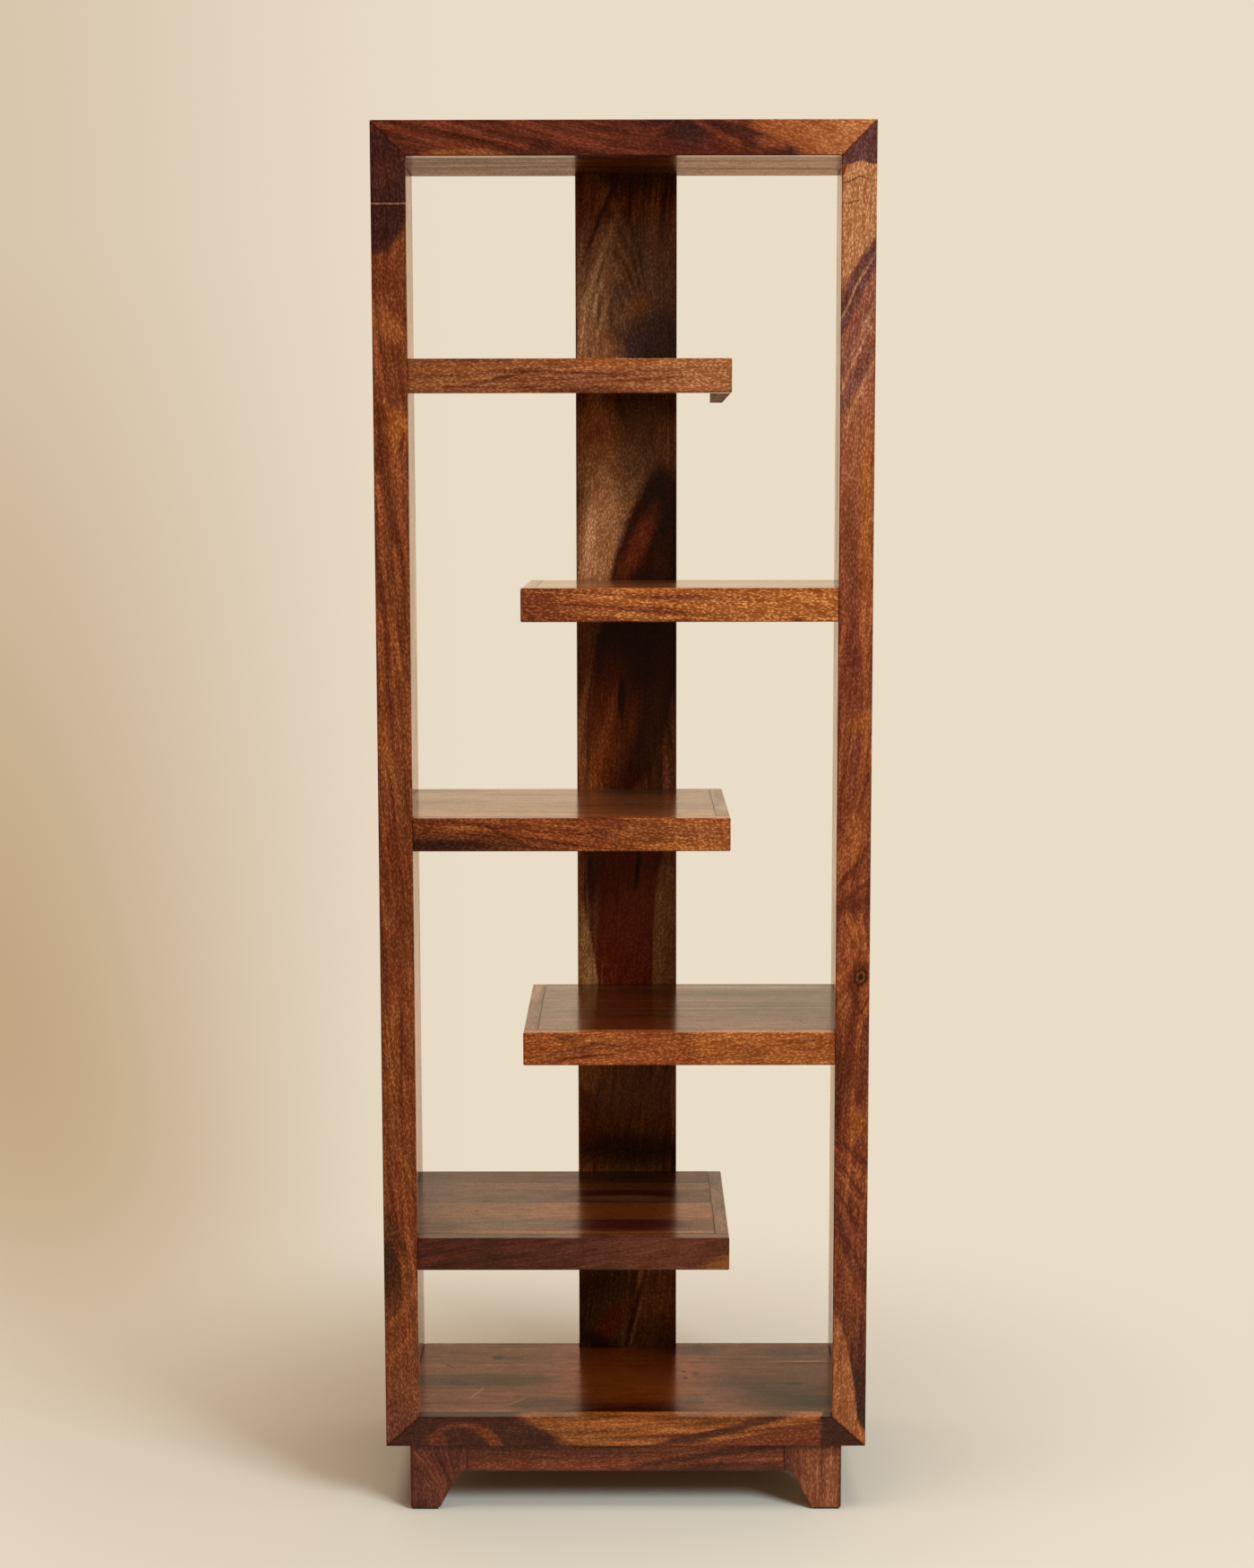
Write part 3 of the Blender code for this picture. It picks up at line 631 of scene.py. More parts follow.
# %% Top rail
board("frame_top_rail", "+x", "-z", 1, ("#793A27", "#5D2A1C", "#492115"), 14, (
    Patch(625, 10, 150, 70, 0, "#A05C35", 1.0, 0.06),
    Patch(612, 14, 44, 50, 0, "#BB7648", 0.75, 0.7),
    Patch(440, 44, 97, 38, 5, "#442019", 1.0, 0.1, 14),
    Patch(425, 48, 84, 32, 5, "#5E291D", 0.95, 0.25),
    Patch(120, 42, 50, 6, 0, "#96552E", 0.85, 0.3, 3),
    Patch(213, 33, 16, 7, -8, HEART, 0.85, 0.35, 3),
    Patch(190, 43, 9, 6, 0, HEART, 0.8, 0.4),
    Patch(396, 16, 24, 20, 0, "#2F1B1D", 0.7, 0.6),
    Patch(352, 4, 26, 5, 0, "#2F1B1D", 0.7, 0.5),
    Patch(440, 20, 44, 3.5, 27, "#804025", 0.6, 0.7),
    Patch(503, 27, 20, 9, 0, "#8F4B2F", 0.8, 0.6),
    Patch(470, 32, 12, 9, 60, HEART, 0.7, 0.6),
))

# %% Bottom rail
board("frame_bottom_rail", "+x", "-z", 2, ("#B96C31", "#985725", "#693A1B"), -3, (
    Patch(80, 38, 135, 60, 0, "#482517", 1.0, 0.08),
    Patch(245, 22, 50, 40, 0, "#8B542B", 0.5, 0.8),
    Patch(175, 22, 62, 14, 14, "#482617", 0.9, 0.25, 6),
    Patch(200, 40, 22, 20, 0, "#442217", 1.0, 0.25),
    Patch(105, 42, 50, 34, 0, "#773D1D", 0.95, 0.10, 10),
    Patch(96, 44, 40, 30, 0, "#462317", 0.95, 0.12),
    Patch(66, 34, 14, 13, 0, "#69331D", 0.85, 0.35),
    Patch(520, 38, 180, 20, -9, "#763A1D", 1.0, 0.10, 6),
    Patch(425, 24, 85, 4.5, -12, "#4A2517", 0.95, 0.5),
    Patch(500, 4, 34, 5, -8, "#4A2517", 0.8, 0.5),
    Patch(405, 31, 26, 6, 0, "#532B1D", 0.8, 0.5),
    Patch(620, 20, 48, 80, 0, "#442217", 1.0, 0.05),
))

# %% Left stile
board("frame_left_stile", "-z", "-x", 3, ("#9E5730", "#7F4526", "#6B331D"), -5, (
    Patch(10, 20, 70, 60, 0, "#4C241D", 0.95, 0.3),
    Patch(90, 42, 76, 47, 0, "#40211E", 1.0, 0.10, 12),
    Patch(66, 26, 18, 14, 0, "#592D26", 0.6, 0.6),
    Patch(102, 24, 0.8, 300, 0, "#B57D63", 0.85, 0.5, straight=True),
    Patch(190, 24, 26, 24, 50, "#74371E", 0.7, 0.7),
    Patch(255, 24, 12, 20, 45, "#AE6637", 0.7, 0.8),
    Patch(384, 14, 26, 14, 0, HONEY, 0.9, 0.5, 8),
    Patch(412, 34, 26, 9, 10, "#66301C", 0.8, 0.5),
    Patch(400, 8, 16, 3, 12, UMBER, 0.8, 0.5),
    Patch(485, 24, 52, 5, -12, "#63301C", 0.8, 0.5, 5),
    Patch(672, 14, 46, 3, -10, HONEY, 0.6, 0.7),
    Patch(780, 22, 34, 30, 0, "#995533", 0.5, 0.7),
    Patch(808, 27, 50, 3, -12, "#AE6637", 0.6, 0.7),
    Patch(940, 26, 44, 20, 0, "#703019", 0.6, 0.8),
    Patch(1060, 37, 40, 8, -8, "#66301A", 0.7, 0.6),
    Patch(1210, 22, 110, 60, 0, "#96532D", 0.4, 0.8),
    Patch(1180, 18, 50, 2.0, 1, UMBER, 0.8, 0.6),
    Patch(1190, 31, 60, 1.6, -6, "#B36C37", 0.8, 0.6),
    Patch(1330, 14, 40, 3, -22, HONEY, 0.6, 0.6),
    Patch(1482, 34, 62, 13, -4, "#42271A", 1.0, 0.35, 9),
    Patch(1420, 28, 34, 9, -24, "#55301E", 0.7, 0.5),
    Patch(1590, 20, 95, 40, 0, "#854A2A", 0.6, 0.6),
    Patch(1530, 24, 40, 3, 40, HONEY, 0.5, 0.8),
    Patch(1576, 24, 40, 2.5, 38, HONEY, 0.4, 0.8),
    Patch(1690, 24, 40, 30, 0, "#703C31", 0.7, 0.6),
), 0.38)

# %% Right stile
board("frame_right_stile", "-z", "-x", 4, ("#B16436", "#8B4A2D", "#77392B"), 4, (
    Patch(270, 22, 140, 100, 0, "#955D4D", 0.7, 0.5),
    Patch(20, 20, 36, 300, 0, "#603B3A", 1.0, 0.05),
    Patch(120, 30, 137, 37, 29.7, "#B77F55", 1.0, 0.05, -14),
    Patch(26, 20, 30, 300, 0, "#603B3A", 1.0, 0.04),
    Patch(76, 26, 1.0, 18, -8, UMBER, 0.8, 0.5),
    Patch(103, 30, 1.0, 12, 2, UMBER, 0.8, 0.5),
    Patch(92, 16, 12, 1.0, 4, UMBER, 0.35, 0.5),
    Patch(440, 22, 110, 80, 0, "#AB6943", 0.55, 0.8),
    Patch(200, 22, 78, 10, 28, "#663F3B", 0.95, 0.5),
    Patch(262, 20, 76, 7, 26, "#825146", 0.7, 0.6, -6),
    Patch(250, 12, 50, 3, 24, "#B77D5B", 0.7, 0.7),
    Patch(238, 32, 60, 4, 27, "#6E4542", 0.8, 0.6),
    Patch(218, 30, 60, 1.6, 28, "#C49069", 0.6, 0.7),
    Patch(300, 28, 60, 1.6, 24, "#C49069", 0.6, 0.7),
    Patch(318, 22, 60, 7, 26, "#734740", 0.8, 0.6),
    Patch(345, 22, 60, 3, 22, "#BB815B", 0.7, 0.7),
    Patch(470, 10, 110, 7, 1, HONEY, 0.75, 0.7),
    Patch(560, 30, 110, 10, 0, "#763D2D", 0.7, 0.6),
    Patch(690, 26, 60, 14, 0, "#723829", 0.7, 0.6),
    Patch(752, 12, 22, 10, 50, HONEY, 0.6, 0.7),
    Patch(800, 32, 60, 2.2, 8, UMBER, 0.7, 0.6),
    Patch(850, 12, 50, 2.2, 16, UMBER, 0.7, 0.6),
    Patch(920, 28, 55, 14, 22, "#A65C31", 0.7, 0.6, 8),
    Patch(945, 25, 40, 4, 36, UMBER, 0.7, 0.6),
    Patch(975, 22, 40, 3.5, 52, UMBER, 0.7, 0.6),
    Patch(990, 22, 9, 30, -10, "#652F1B", 0.8, 0.6),
    Patch(1030, 20, 16, 12, 0, "#B06434", 0.7, 0.6, 10),
    Patch(1040, 20, 6, 5, 0, UMBER, 0.6, 0.6),
    Patch(1082, 12, 32, 22, 0, "#9A5029", 0.8, 0.5, 22),
    Patch(1080, 14, 20, 12, 10, "#532919", 0.7, 0.4),
    Patch(1082, 11, 11, 9, 0, "#412015", 1.0, 0.25),
    Patch(1082, 11, 7.5, 6, 0, "#814727", 0.9, 0.25),
    Patch(1082, 11, 4.5, 3.5, 0, "#331911", 1.0, 0.3),
    Patch(1110, 18, 22, 5, -22, "#53291B", 0.7, 0.6),
    Patch(1200, 30, 90, 6, 8, "#602D1C", 0.8, 0.6),
    Patch(1230, 38, 70, 4, 0, "#532719", 0.8, 0.6),
    Patch(1272, 13, 16, 7, 0, HONEY, 0.8, 0.6),
    Patch(1315, 18, 34, 4, -42, "#653120", 0.8, 0.6),
    Patch(1324, 28, 30, 2.0, -42, HONEY, 0.6, 0.7),
    Patch(1344, 26, 34, 2.0, -36, "#592C1E", 0.7, 0.6),
    Patch(1362, 24, 34, 2.2, -36, "#AE6942", 0.7, 0.6),
    Patch(1392, 24, 40, 2.6, -32, "#562A1F", 0.7, 0.6),
    Patch(1412, 22, 40, 2.2, -30, "#A86441", 0.6, 0.7),
    Patch(1450, 16, 46, 3.0, -26, "#4C271F", 0.7, 0.6),
    Patch(1478, 18, 46, 2.4, -24, "#A2613E", 0.6, 0.7),
    Patch(1450, 22, 100, 40, 0, "#6E3B2D", 0.35, 0.8),
    Patch(1430, 30, 80, 5, -14, "#5E3027", 0.8, 0.6),
    Patch(1500, 14, 70, 4, -22, "#9A542F", 0.6, 0.7),
    Patch(1190, 22, 70, 60, 0, "#612F1D", 0.4, 0.8),
    Patch(1675, 6, 120, 44, -8, "#42251D", 1.0, 0.7),
    Patch(1655, 48, 150, 36, -6, "#A4633A", 1.0, 0.04),
    Patch(1692, 8, 20, 8, -20, "#AA6134", 1.0, 0.3),
), 0.34)

# %% [markdown]
# ## The shelves' front lippings
#
# Each shelf has its own character: wavy brown, speckled orange, one that starts in dark heart, a honey one
# and a plum-coloured one with a light corner.

# %% Front lippings
board("shelf_1_front_lipping", "+x", "-z", 5, ("#AE6E42", "#955B3B", "#7B442E"), -1, (
    Patch(0, 22, 44, 60, 0, "#864F2E", 0.6, 0.8),
    Patch(380, 22, 90, 60, 0, "#BE7E52", 0.5, 0.8),
    Patch(90, 10, 90, 4, -2, "#AE6A3C", 0.6, 0.7),
    Patch(110, 25, 48, 2.2, -12, UMBER, 0.7, 0.6),
    Patch(200, 18, 80, 2.0, 2, UMBER, 0.75, 0.6),
    Patch(290, 27, 70, 2.2, -3, UMBER, 0.6, 0.6),
    Patch(250, 6, 40, 5, 0, HONEY, 0.6, 0.7),
    Patch(210, 40, 60, 4, 0, UMBER, 0.5, 0.7),
), 0.38)
board("shelf_2_front_lipping", "+x", "-z", 6, ("#C37C42", "#AF673A", "#7F442B"), 3, (
    Patch(0, 24, 68, 60, 0, "#814228", 0.85, 0.7),
    Patch(330, 22, 110, 26, 0, "#C27B41", 0.7, 0.6),
    Patch(210, 41, 40, 3, 4, UMBER, 0.6, 0.6),
    Patch(353, 43, 6, 3, 0, UMBER, 0.9, 0.4),
), 0.48)
board("shelf_3_front_lipping", "+x", "-z", 7, ("#AD6432", "#904D29", "#67321C"), 5, (
    Patch(10, 22, 40, 60, 0, "#6A3019", 0.7, 0.8),
    Patch(390, 22, 90, 60, 0, "#C47A46", 0.5, 0.8),
    Patch(20, 34, 130, 13, 2, "#4C2A1B", 0.95, 0.6, 7),
    Patch(20, 35, 62, 6, 0, "#351A12", 0.8, 0.7),
    Patch(40, 26, 70, 1.6, 2, "#7F482A", 0.6, 0.7),
    Patch(122, 24, 34, 3, 30, "#562B1A", 0.8, 0.6),
    Patch(240, 20, 18, 10, 0, "#69351E", 0.8, 0.6, 6),
    Patch(262, 24, 4, 24, 0, "#723D22", 0.7, 0.7),
    Patch(305, 22, 22, 16, 10, "#723D22", 0.5, 0.8),
    Patch(350, 36, 50, 8, 0, "#B76F34", 0.6, 0.7),
), 0.44)
board("shelf_4_front_lipping", "+x", "-z", 8, ("#BC7439", "#AC6233", "#8F4C2E"), -6, (
    Patch(320, 20, 110, 30, 0, "#B86F38", 0.5, 0.6),
    Patch(172, 22, 52, 60, 0, "#9E562E", 0.85, 0.2),
    Patch(58, 9, 18, 6, 8, "#773F24", 0.7, 0.6),
    Patch(70, 20, 40, 2.2, -16, "#713D22", 0.7, 0.6, 6),
    Patch(105, 15, 20, 2.0, 4, UMBER, 0.7, 0.6),
    Patch(80, 31, 28, 1.8, -8, UMBER, 0.7, 0.6),
    Patch(20, 14, 22, 12, 0, "#984D27", 0.6, 0.7),
    Patch(300, 26, 14, 10, 40, "#8F4E27", 0.6, 0.7),
    Patch(380, 12, 40, 4, -4, "#8F4E27", 0.6, 0.7),
), 0.38)
board("shelf_5_front_lipping", "+x", "-z", 9, ("#6F3A2A", "#563123", "#442B1E"), -9, (
    Patch(96, 22, 16, 30, 0, "#3E2E1E", 0.6, 0.8),
    Patch(70, 22, 120, 60, 0, "#47221B", 0.45, 0.8),
    Patch(330, 22, 110, 60, 0, "#784230", 0.5, 0.8),
    Patch(408, 47, 66, 24, -20, "#935D31", 0.85, 0.3, -6),
), 0.16)

# %% [markdown]
# ## End rails
#
# The rail that closes each shelf's free end runs from front to back, so its grain does too. From the front
# only the underside of the first one shows, which the spray gun missed.

# %% End rails
END_RAIL_TONES = (("#985630", "#7C4426", "#522D18"), ("#A8683A", "#8E502E", "#6A381E"),
                  ("#9E5C32", "#844624", "#60301A"), ("#985632", "#7C4224", "#5A2E1A"),
                  ("#9A5A3A", "#7E472C", "#5E3422"))
for number, tones in enumerate(END_RAIL_TONES, 1):
    finish = MISSED if number == 1 else RUBBED
    board(f"shelf_{number}_end_rail", "+y", "-z", 20 + number, tones, lacquer=finish)

# %% [markdown]
# ## The shelf panels, the top and the bottom
#
# A panel is glued up from staves, and every stave is another piece of timber: the colour jumps at the glue
# lines. A stave is a patch too, a very long one with a sharp edge.

# %% Staves
STAVE_LENGTH = 4000.0
STAVE_EDGE = 0.015


def staves(widths_and_tones, cover=0.72):
    """Staves side by side from the back edge of a panel, given as (width in mm, tone)."""
    laid, v = [], 0.0
    for width, tone in widths_and_tones:
        laid.append(Patch(0, v + width / 2, STAVE_LENGTH, width / 2, 0, tone, cover, STAVE_EDGE,
                          straight=True))
        v += width
    return laid


print(f"a stave's edge is soft over {STAVE_EDGE:.1%} of its half width")

# %% What marks the bottom and the top, with a painted reflection on the bottom
BOTTOM_PATCHES = (
    # These three are a painted reflection: a strip across the grain where the back plank is mirrored, back to
    # front
    Patch(312, 30, 96, 60, 0, "#A04A1E", 0.75, 0.6),
    Patch(312, 150, 100, 96, 0, "#B25010", 0.55, 0.6),
    Patch(312, 280, 96, 38, 0, "#461607", 0.95, 0.6),
    Patch(95, 155, 115, 28, 0, "#4E351C", 0.85, 0.4),
    Patch(190, 250, 50, 25, 0, "#4E351C", 0.7, 0.5),
    Patch(520, 170, 80, 80, 20, "#4E351C", 0.55, 0.8),
    Patch(500, 215, 100, 52, 24, "#4E351C", 0.8, 0.5),
    Patch(555, 240, 34, 22, 0, "#3A2C1A", 0.85, 0.5),
    Patch(398, 30, 46, 20, 0, "#4E351C", 0.8, 0.5),
    Patch(540, 40, 44, 22, 0, "#4E351C", 0.7, 0.6),
    Patch(430, 225, 40, 56, 0, "#96543A", 0.35, 0.7),
    Patch(395, 235, 20, 16, 0, "#5E4A38", 0.8, 0.5),
    Patch(558, 88, 36, 2.2, 0, EBONY, 0.7, 0.6),
    Patch(537, 170, 14, 5, 0, EBONY, 0.8, 0.5),
    Patch(300, 96, 50, 2.0, 3, UMBER, 0.7, 0.6),
    Patch(96, 206, 24, 1.6, 108, SAPWOOD, 0.45, 0.7),
    Patch(155, 234, 24, 1.6, 132, SAPWOOD, 0.45, 0.7),
    Patch(120, 62, 8, 7, 0, "#1A0C06", 1.0, 0.4, 6),
    Patch(140, 66, 14, 4, 0, UMBER, 0.7, 0.6),
    Patch(66, 159, 3.2, 4, 0, EBONY, 0.9, 0.5),
    Patch(51, 94, 12, 1.8, 50, EBONY, 0.8, 0.5),
    Patch(383, 121, 3.2, 4, 0, EBONY, 1.0, 0.5),
    Patch(399, 130, 3.4, 4, 0, EBONY, 1.0, 0.5),
    Patch(382, 147, 3.2, 3.6, 0, EBONY, 1.0, 0.5),
    Patch(550, 78, 50, 2.4, 0, SAPWOOD, 0.6, 0.6),
    Patch(107, 220, 6, 2.4, 20, RUSSET, 0.8, 0.5),
    Patch(147, 230, 5, 2.4, 0, RUSSET, 0.8, 0.5),
    Patch(300, 2, 400, 4, 0, UMBER, 0.8, 0.6),
)
TOP_PATCHES = (
    Patch(520, 160, 190, 260, 0, "#C08A5C", 0.5, 0.8),
    Patch(120, 92, 210, 11, 2, "#3E2412", 0.8, 0.7),
    Patch(60, 136, 170, 8, 1, "#3E2412", 0.7, 0.7),
    Patch(150, 214, 190, 10, -1, "#3E2412", 0.75, 0.7),
    Patch(40, 276, 190, 11, -2, "#3E2412", 0.8, 0.7),
    Patch(500, 74, 170, 10, -2, "#46290F", 0.8, 0.7),
    Patch(470, 150, 140, 7, 1, "#46290F", 0.7, 0.7),
    Patch(520, 236, 170, 10, 1, "#46290F", 0.75, 0.7),
)
print(len(BOTTOM_PATCHES), "patches on the bottom,", len(TOP_PATCHES), "on the top")

# %% What marks the shelves, with painted shadow and a painted reflection on shelf 5
SHELF_3_PATCHES = (
    Patch(40, 20, 70, 26, 0, OLIVE, 0.8, 0.6),
    Patch(290, 168, 66, 4, -6, "#B88054", 0.5, 0.8),
    Patch(300, 210, 60, 5, -8, "#B88054", 0.5, 0.8),
    Patch(330, 40, 60, 30, 0, OLIVE, 0.6, 0.7),
    Patch(150, 70, 90, 12, 4, OLIVE, 0.6, 0.6),
    Patch(60, 150, 60, 22, -4, "#5A3A26", 0.6, 0.6),
    Patch(190, 262, 120, 12, 3, "#6A4028", 0.6, 0.6),
)
SHELF_4_PATCHES = (
    Patch(200, 26, 240, 12, 0, "#7E5230", 0.7, 0.5),
    Patch(190, 120, 200, 3.0, 1, "#8E5230", 0.5, 0.8),
    Patch(200, 172, 220, 2.6, -1, "#925634", 0.5, 0.8),
    Patch(160, 205, 160, 2.2, 1, "#8E5230", 0.45, 0.8),
    Patch(300, 70, 130, 16, -3, "#3E2010", 0.7, 0.6),
    Patch(330, 150, 90, 24, 5, "#43281A", 0.6, 0.6),
    Patch(343, 257, 1.6, 6, 0, EBONY, 0.9, 0.5),
    Patch(402, 170, 16, 150, 0, UMBER, 0.6, 0.6),
    Patch(60, 200, 70, 140, 0, "#8C5036", 0.3, 0.8),
)
SHELF_5_PATCHES = (
    # Painted shadow: a dark olive band at the left end of shelf 5, by the side panel
    Patch(18, 170, 44, 170, 0, "#43301F", 0.65, 0.7),
    # These four are a painted reflection of the back plank: dark blocks and light lines at its place, at the
    # depths where its marks are mirrored
    Patch(304, 130, 84, 32, 0, "#4A1206", 0.95, 0.4),
    Patch(304, 266, 84, 30, 0, "#521A0A", 0.95, 0.4),
    Patch(300, 240, 110, 2.2, 0, "#B06A3A", 0.7, 0.6),
    Patch(300, 94, 90, 2.0, 0, "#A0602F", 0.6, 0.6),
    Patch(85, 200, 105, 150, 0, "#744830", 0.5, 0.3),
    Patch(60, 50, 44, 12, 0, OLIVE, 0.8, 0.6),
    Patch(140, 145, 66, 22, 4, OLIVE, 0.8, 0.5),
    Patch(150, 260, 90, 18, 3, "#6A5038", 0.7, 0.6),
    Patch(50, 285, 36, 40, 20, "#50301E", 0.7, 0.6),
    Patch(300, 140, 60, 14, 2, "#9A6440", 0.6, 0.6),
    Patch(110, 155, 5, 2.0, 20, EBONY, 0.9, 0.5),
    Patch(100, 205, 4, 1.8, 0, EBONY, 0.9, 0.5),
)
print(len(SHELF_3_PATCHES + SHELF_4_PATCHES + SHELF_5_PATCHES), "patches on the three lower shelves")

# %% Dressing the panels
POLISHED_FLECK = 0.16
TOP_STAVES = ((80, "#784424"), (92, "#8B522A"), (84, "#6D3A1D"), (90, "#814925"))
BOTTOM_STAVES = ((88, "#774321"), (76, "#854721"), (92, "#793D1C"), (74, "#904E22"))
board("top_panel", "+x", "-y", 30, ("#B26C3C", "#7E4825", "#3E210E"), 0,
      staves(TOP_STAVES, 0.5) + list(TOP_PATCHES), lacquer=THIN)
board("bottom_panel", "+x", "-y", 31, ("#A4602F", "#814922", "#5A3117"), 0,
      staves(BOTTOM_STAVES) + list(BOTTOM_PATCHES), POLISHED_FLECK, WORN)

# Each shelf from the top one down: its streaks, its staves from the back edge, its patches and its finish
SHELVES = (
    (("#B87A4C", "#9A6038", "#704026"),
     ((80, "#98603A"), (90, "#A86A40"), (70, "#885030"), (80, "#A06438")), (), GLOSSY),
    (("#C88250", "#A8683C", "#7C4628"),
     ((70, "#A8683C"), (85, "#985A34"), (90, "#B07040"), (70, "#8E5230")), (), GLOSSY),
    (("#B8744A", "#9A5E38", "#6C3C24"),
     ((76, "#9A6040"), (84, "#A0603C"), (80, "#8E5030"), (80, "#A06038")), SHELF_3_PATCHES, RUBBED),
    (("#783A16", "#622B0E", "#401A06"),
     ((84, "#643011"), (70, "#6A2C0E"), (86, "#5B260A"), (80, "#6B2D0E")), SHELF_4_PATCHES, RUBBED),
    (("#92552C", "#733E1E", "#492511"),
     ((62, "#54331C"), (35, "#80481F"), (66, "#6C3A22"), (73, "#A2551E"), (61, "#7A4228"), (12, "#A16129")),
     SHELF_5_PATCHES, WORN),
)
for number, (tones, laid, patches, finish) in enumerate(SHELVES, 1):
    board(f"shelf_{number}_panel", "+x", "-y", 31 + number, tones, 0, staves(laid) + list(patches),
          POLISHED_FLECK, finish)

# %% [markdown]
# ## The sides
#
# The two side boards show a narrow strip of their inner faces to the front and their whole width to the side.
# Three long patches each bend the grain, so that so large a face isn't striped like corduroy.

# %% Side panels
board("left_side_panel", "-z", "-y", 40, ("#C07E50", "#A0623A", "#78462A"), 2, (
    Patch(420, 120, 260, 60, 6, "#B8743C", 0.5, 0.5, 40),
    Patch(1150, 220, 320, 52, -5, "#5E3420", 0.75, 0.3, 44),
    Patch(1500, 60, 160, 34, 8, "#5E3420", 0.6, 0.5, 22),
), lacquer=RUBBED)
board("right_side_panel", "-z", "+y", 41, ("#BC7A4C", "#9A5C36", "#704026"), -2, (
    Patch(300, 230, 300, 58, 5, "#5E3420", 0.7, 0.3, 44),
    Patch(900, 90, 300, 44, -4, "#B8743C", 0.6, 0.4, 36),
    Patch(1380, 240, 240, 50, 6, "#5E3420", 0.6, 0.5, 30),
), lacquer=RUBBED)

# %% [markdown]
# ## The plank
#
# The plank at the back is the darkest board: olive-brown with a cathedral of light flecks at the top, and a
# nearly black heart that opens downwards like a flame. Two dark bands across it are painted shadow, under
# the top and under the first shelf.

# %% Back plank
board("back_plank", "-z", "-x", 50, ("#C3804F", "#8A5733", "#55301C"), 5, (
    # Painted shadow: a dark band across the top of the plank, under the top panel
    Patch(10, 70, 26, 120, 0, "#3F2F22", 0.8, 0.8),
    Patch(160, 26, 96, 36, -8, "#8C6852", 0.85, 0.5),
    Patch(230, 92, 216, 56, -3, "#63432C", 0.8, 0.05),
    Patch(234, 88, 206, 48, -5, "#B98054", 0.8, 0.10),
    Patch(250, 80, 196, 44, -6, "#523525", 0.8, 0.05),
    Patch(256, 80, 190, 38.5, -6, "#BB8256", 0.75, 0.12),
    Patch(262, 72, 160, 34, -7, "#523727", 0.8, 0.05),
    Patch(268, 72, 154, 29, -7, "#B57C52", 0.7, 0.14),
    Patch(270, 64, 120, 24, -8, "#4E352A", 0.75, 0.08),
    Patch(276, 64, 116, 20, -8, "#9C6D50", 0.7, 0.16),
    Patch(380, 40, 160, 42, -6, bend=90),
    Patch(128, 106, 60, 4.2, 20, "#EDB583", 0.6, 0.8),
    Patch(172, 108, 56, 3.6, 17, "#EDB583", 0.6, 0.8),
    Patch(205, 128, 52, 5, 8, "#E8AB77", 0.75, 0.8),
    Patch(215, 106, 40, 2.6, 18, "#E8AB77", 0.65, 0.8),
    Patch(60, 124, 60, 14, 6, "#9E6140", 0.8, 0.6),
    Patch(70, 106, 62, 3.0, 24, "#46261A", 0.75, 0.6),
    Patch(200, 51, 26, 16, 10, "#C87C3F", 0.7, 0.8),
    Patch(238, 34, 52, 44, 24, "#4A3533", 0.85, 0.45, -10),
    Patch(262, 106, 44, 30, 0, "#C4804F", 0.7, 0.5),
    # Painted shadow: a dark band across the plank just under the first shelf
    Patch(320, 60, 22, 90, 0, "#342215", 0.75, 0.7),
    Patch(375, 44, 62, 40, 0, "#845D3A", 0.7, 0.7),
    Patch(380, 112, 66, 28, 0, "#D4955D", 0.75, 0.6),
    Patch(510, 104, 96, 27, 4, "#E29F6A", 0.85, 0.5, 10),
    Patch(520, 122, 60, 9, 2, "#F9B77E", 0.7, 0.8),
    Patch(646, 49, 240, 60, 8.5, "#431C0C", 1.0, 0.08, -30),
    Patch(464, 26, 60, 18, 2, "#36221B", 0.9, 0.35),
    Patch(516, 54, 48, 13, 27, "#964522", 0.8, 0.7),
    Patch(548, 22, 40, 12, 0, "#532818", 0.8, 0.6),
    Patch(640, 62, 48, 60, 0, "#351408", 0.8, 0.7),
    Patch(667, 141, 76, 22, 11, "#825626", 0.95, 0.12, 8),
    Patch(775, 100, 84, 26, 6, "#944717", 0.85, 0.7),
    Patch(765, 62, 40, 10, 10, "#7F3C15", 0.7, 0.7),
    Patch(810, 108, 70, 7, 14, "#B05E2C", 0.7, 0.8),
    Patch(740, 90, 40, 4, 16, "#B05E2C", 0.6, 0.8),
    Patch(727, 78, 32, 5, 0, "#150803", 0.9, 0.6),
    Patch(785, 28, 90, 14, 3, "#553214", 0.8, 0.7),
    Patch(1040, 66, 175, 52, 2, "#70230C", 0.95, 0.25),
    Patch(1040, 6, 165, 25, 4, "#996639", 0.95, 0.10, 6),
    Patch(975, 55, 28, 3, 6, "#200903", 0.95, 0.5),
    Patch(970, 118, 40, 10, 0, "#52220C", 0.8, 0.7),
    Patch(1126, 146, 172, 33, -8, "#BB8550", 1.0, 0.07, 8),
    Patch(1340, 60, 110, 56, 0, "#7B522B", 0.85, 0.6),
    Patch(1365, 116, 50, 18, 0, "#87481F", 0.8, 0.7),
    Patch(1378, 70, 26, 90, 0, "#2F180A", 0.85, 0.7),
    Patch(1620, 20, 110, 42, 14, "#845028", 0.95, 0.08),
    Patch(1590, 106, 74, 42, 12, "#5E4026", 0.95, 0.4),
    Patch(1664, 64, 40, 100, 0, "#3C1C0C", 0.75, 0.7),
    Patch(1640, 98, 40, 14, 34, "#702A12", 0.85, 0.7),
    Patch(1612, 53, 62, 1.9, 14, "#94633A", 0.75, 0.6),
    Patch(1614, 60, 60, 3.0, 14, "#2A150A", 0.7, 0.6),
    Patch(1668, 110, 16, 30, 20, "#231106", 0.9, 0.6),
), 0.34)

# %% [markdown]
# ## The base
#
# The aprons run across and the feet stand upright, so the grain turns where they meet.

